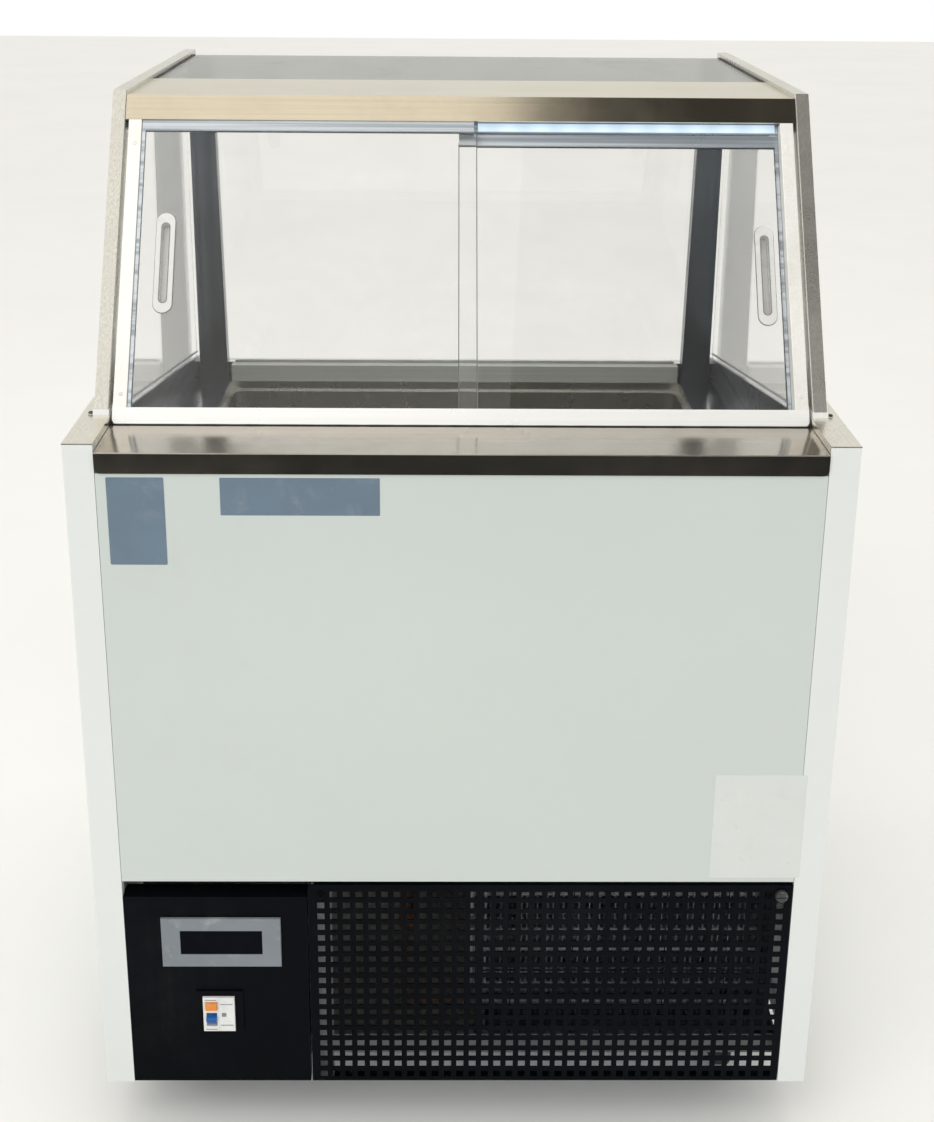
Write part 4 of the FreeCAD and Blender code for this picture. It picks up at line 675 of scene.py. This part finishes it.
def strainer_slots(px, py):
    """Drop of the strainer's surface in every other sector outside its middle."""
    sector = int(8 * math.atan2(py, px) / math.pi)
    return 1.2 * MM if math.hypot(px, py) > 3 * MM and sector % 2 else 0


strainer = [(0.0118, 0), (0.0115, 0.0012), (0.008, 0.0024), (0.004, 0.0030), (0.0006, 0.0031)]
turned("drain_strainer", drain + Z * 1.2 * MM, Z, strainer, "zinc", "cabinet", 48, strainer_slots)

CASTOR_X = 325 * MM             # swivel axis, from the middle
CASTOR_TRAIL = 24 * MM
BOLT_TOP = 92.3 * MM
HUB_COVER = [(0.0185, 0), (0.0185, 0.0008), (0.0150, 0.0022), (0.0105, 0.0030), (0.0092, 0.0034)]
for corner, x_sign in (("operator_left", -1), ("operator_right", 1), ("customer_left", -1),
                       ("customer_right", 1)):
    low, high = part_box("castor_wheel_" + corner)
    middle = (low + high) / 2
    for way in (-1, 1):
        turned("hub_cover_%s_%d" % (corner, way), middle + X * way * 7.2 * MM, X * way, HUB_COVER,
               "grey_plastic", "wheel_" + corner, 44)
    y = middle.y - CASTOR_TRAIL
    for dx in (-32, 32):
        for dy in (-26, 26):
            hex_bolt("castor_bolt_%s_%d_%d" % (corner, dx, dy),
                     Vector((x_sign * CASTOR_X + dx * MM, y + dy * MM, BOLT_TOP)), -Z,
                     6.2 * MM, 4.6 * MM, "zinc", "cabinet")

GUARD_BACK = 36 * MM            # guard's rings, in front of the motor's back
FAN_X, FAN_Z = 190 * MM, 214 * MM
GUARD_STEPS = 60
hub = Vector((FAN_X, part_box("fan_motor")[1].y - GUARD_BACK, FAN_Z))
for k, r in enumerate((0.046, 0.056, 0.066, 0.076, 0.086, 0.096)):
    turns = [2 * math.pi * t / GUARD_STEPS for t in range(GUARD_STEPS)]
    ring = [hub + Vector((r * math.cos(a), 0, r * math.sin(a))) for a in turns]
    round_bead("fan_guard_ring_%d" % k, ring, Y, 0.9 * MM, "zinc", "cabinet", True)

# ============================================================== studio

UPRIGHT = (math.radians(90), 0, 0)


def card(name, size, place, turn, colour, hidden):
    """Flat sheet of the studio; a hidden one shows only in mirror-like surfaces."""
    mesh = bpy.data.meshes.new(name)
    w, d = size[0] / 2, size[1] / 2
    mesh.from_pydata([(-w, -d, 0), (w, -d, 0), (w, d, 0), (-w, d, 0)], [], [(0, 1, 2, 3)])
    o = bpy.data.objects.new(name, mesh)
    o.location = place
    o.rotation_euler = turn
    m, t, shader, coord = new_material(name + "_surface")
    spread = tuple(c * 0.97 for c in colour)
    tone = ramp(t, noise(t, coord, 1.5, 3), [(0.3, spread), (0.7, colour)])
    t.links.new(tone, shader.inputs["Base Color"])
    shader.inputs["Roughness"].default_value = 0.9
    mesh.materials.append(m)
    bpy.context.scene.collection.objects.link(o)
    if hidden:
        o.visible_camera = False
        o.visible_diffuse = False
        o.visible_shadow = False
        o.visible_transmission = False
    return o


card("floor", (30, 30), (0, 0, 0), (0, 0, 0), (0.90, 0.905, 0.90), False)
card("dark_room_floor", (9, 6), (0, -5.0, 0.004), (0, 0, 0), (0.006, 0.006, 0.006), True)
card("dark_room_wall", (9, 2.4), (0, -7.0, 1.2), UPRIGHT, (0.010, 0.010, 0.009), True)
card("grey_wall", (16, 6), (0, 7.0, 3.0), UPRIGHT, (0.80, 0.81, 0.79), True)
card("dark_ceiling", (6, 3.6), (3.22, -1.7, 3.4), (0, 0, 0), (0.02, 0.02, 0.02), True)

world = bpy.data.worlds.new("studio")
world.use_nodes = True
wt = world.node_tree
wt.nodes.clear()
w_out = wt.nodes.new("ShaderNodeOutputWorld")
w_back = wt.nodes.new("ShaderNodeBackground")
w_coord = wt.nodes.new("ShaderNodeTexCoord")
height = axis_part(wt, w_coord.outputs["Generated"], "Z")
sky = ramp(wt, height, [(0.0, (1.0, 1.0, 1.0)), (0.25, (0.97, 0.98, 0.975)), (1.0, (0.95, 0.90, 0.82))])
wt.links.new(sky, w_back.inputs[0])
w_back.inputs[1].default_value = 1.0
wt.links.new(w_back.outputs[0], w_out.inputs[0])
bpy.context.scene.world = world


def lamp(name, place, aim, size, power, colour):
    """Soft rectangular light that no reflection or pane shows."""
    data = bpy.data.lights.new(name, "AREA")
    data.shape = "RECTANGLE"
    data.size, data.size_y = size
    data.energy = power
    data.color = colour
    o = bpy.data.objects.new(name, data)
    o.location = place
    o.rotation_euler = (Vector(aim) - Vector(place)).to_track_quat("-Z", "Y").to_euler()
    o.visible_glossy = False
    o.visible_transmission = False
    bpy.context.scene.collection.objects.link(o)


lamp("key", (-1.4, -2.6, 3.4), (0, 0, 0.6), (2.6, 1.8), 30, (1.0, 0.98, 0.95))
lamp("top", (0.0, 0.4, 3.6), (0, 0, 0.6), (2.5, 2.5), 14, (1.0, 0.99, 0.97))

# ============================================================== camera

LENS = 49.36
SHIFT_X, SHIFT_Y = 0.0112, -0.1523
EYE = (-0.0248, -1.83605, 1.3639)
YAW, LOOK_DOWN, ROLL = -0.637, 17.5, 0.442      # degrees

camera_data = bpy.data.cameras.new("camera")
camera = bpy.data.objects.new("camera", camera_data)
bpy.context.scene.collection.objects.link(camera)
camera_data.sensor_fit = "AUTO"
camera_data.sensor_width = 36
camera_data.lens = LENS
camera_data.shift_x = SHIFT_X
camera_data.shift_y = SHIFT_Y
camera_data.dof.use_dof = False
yaw = Matrix.Rotation(math.radians(YAW), 4, "Z")
pitch = Matrix.Rotation(math.radians(90 - LOOK_DOWN), 4, "X")
roll = Matrix.Rotation(math.radians(ROLL), 4, "Z")
camera.matrix_world = Matrix.Translation(EYE) @ yaw @ pitch @ roll
bpy.context.scene.camera = camera
bpy.context.scene.view_settings.view_transform = "Standard"
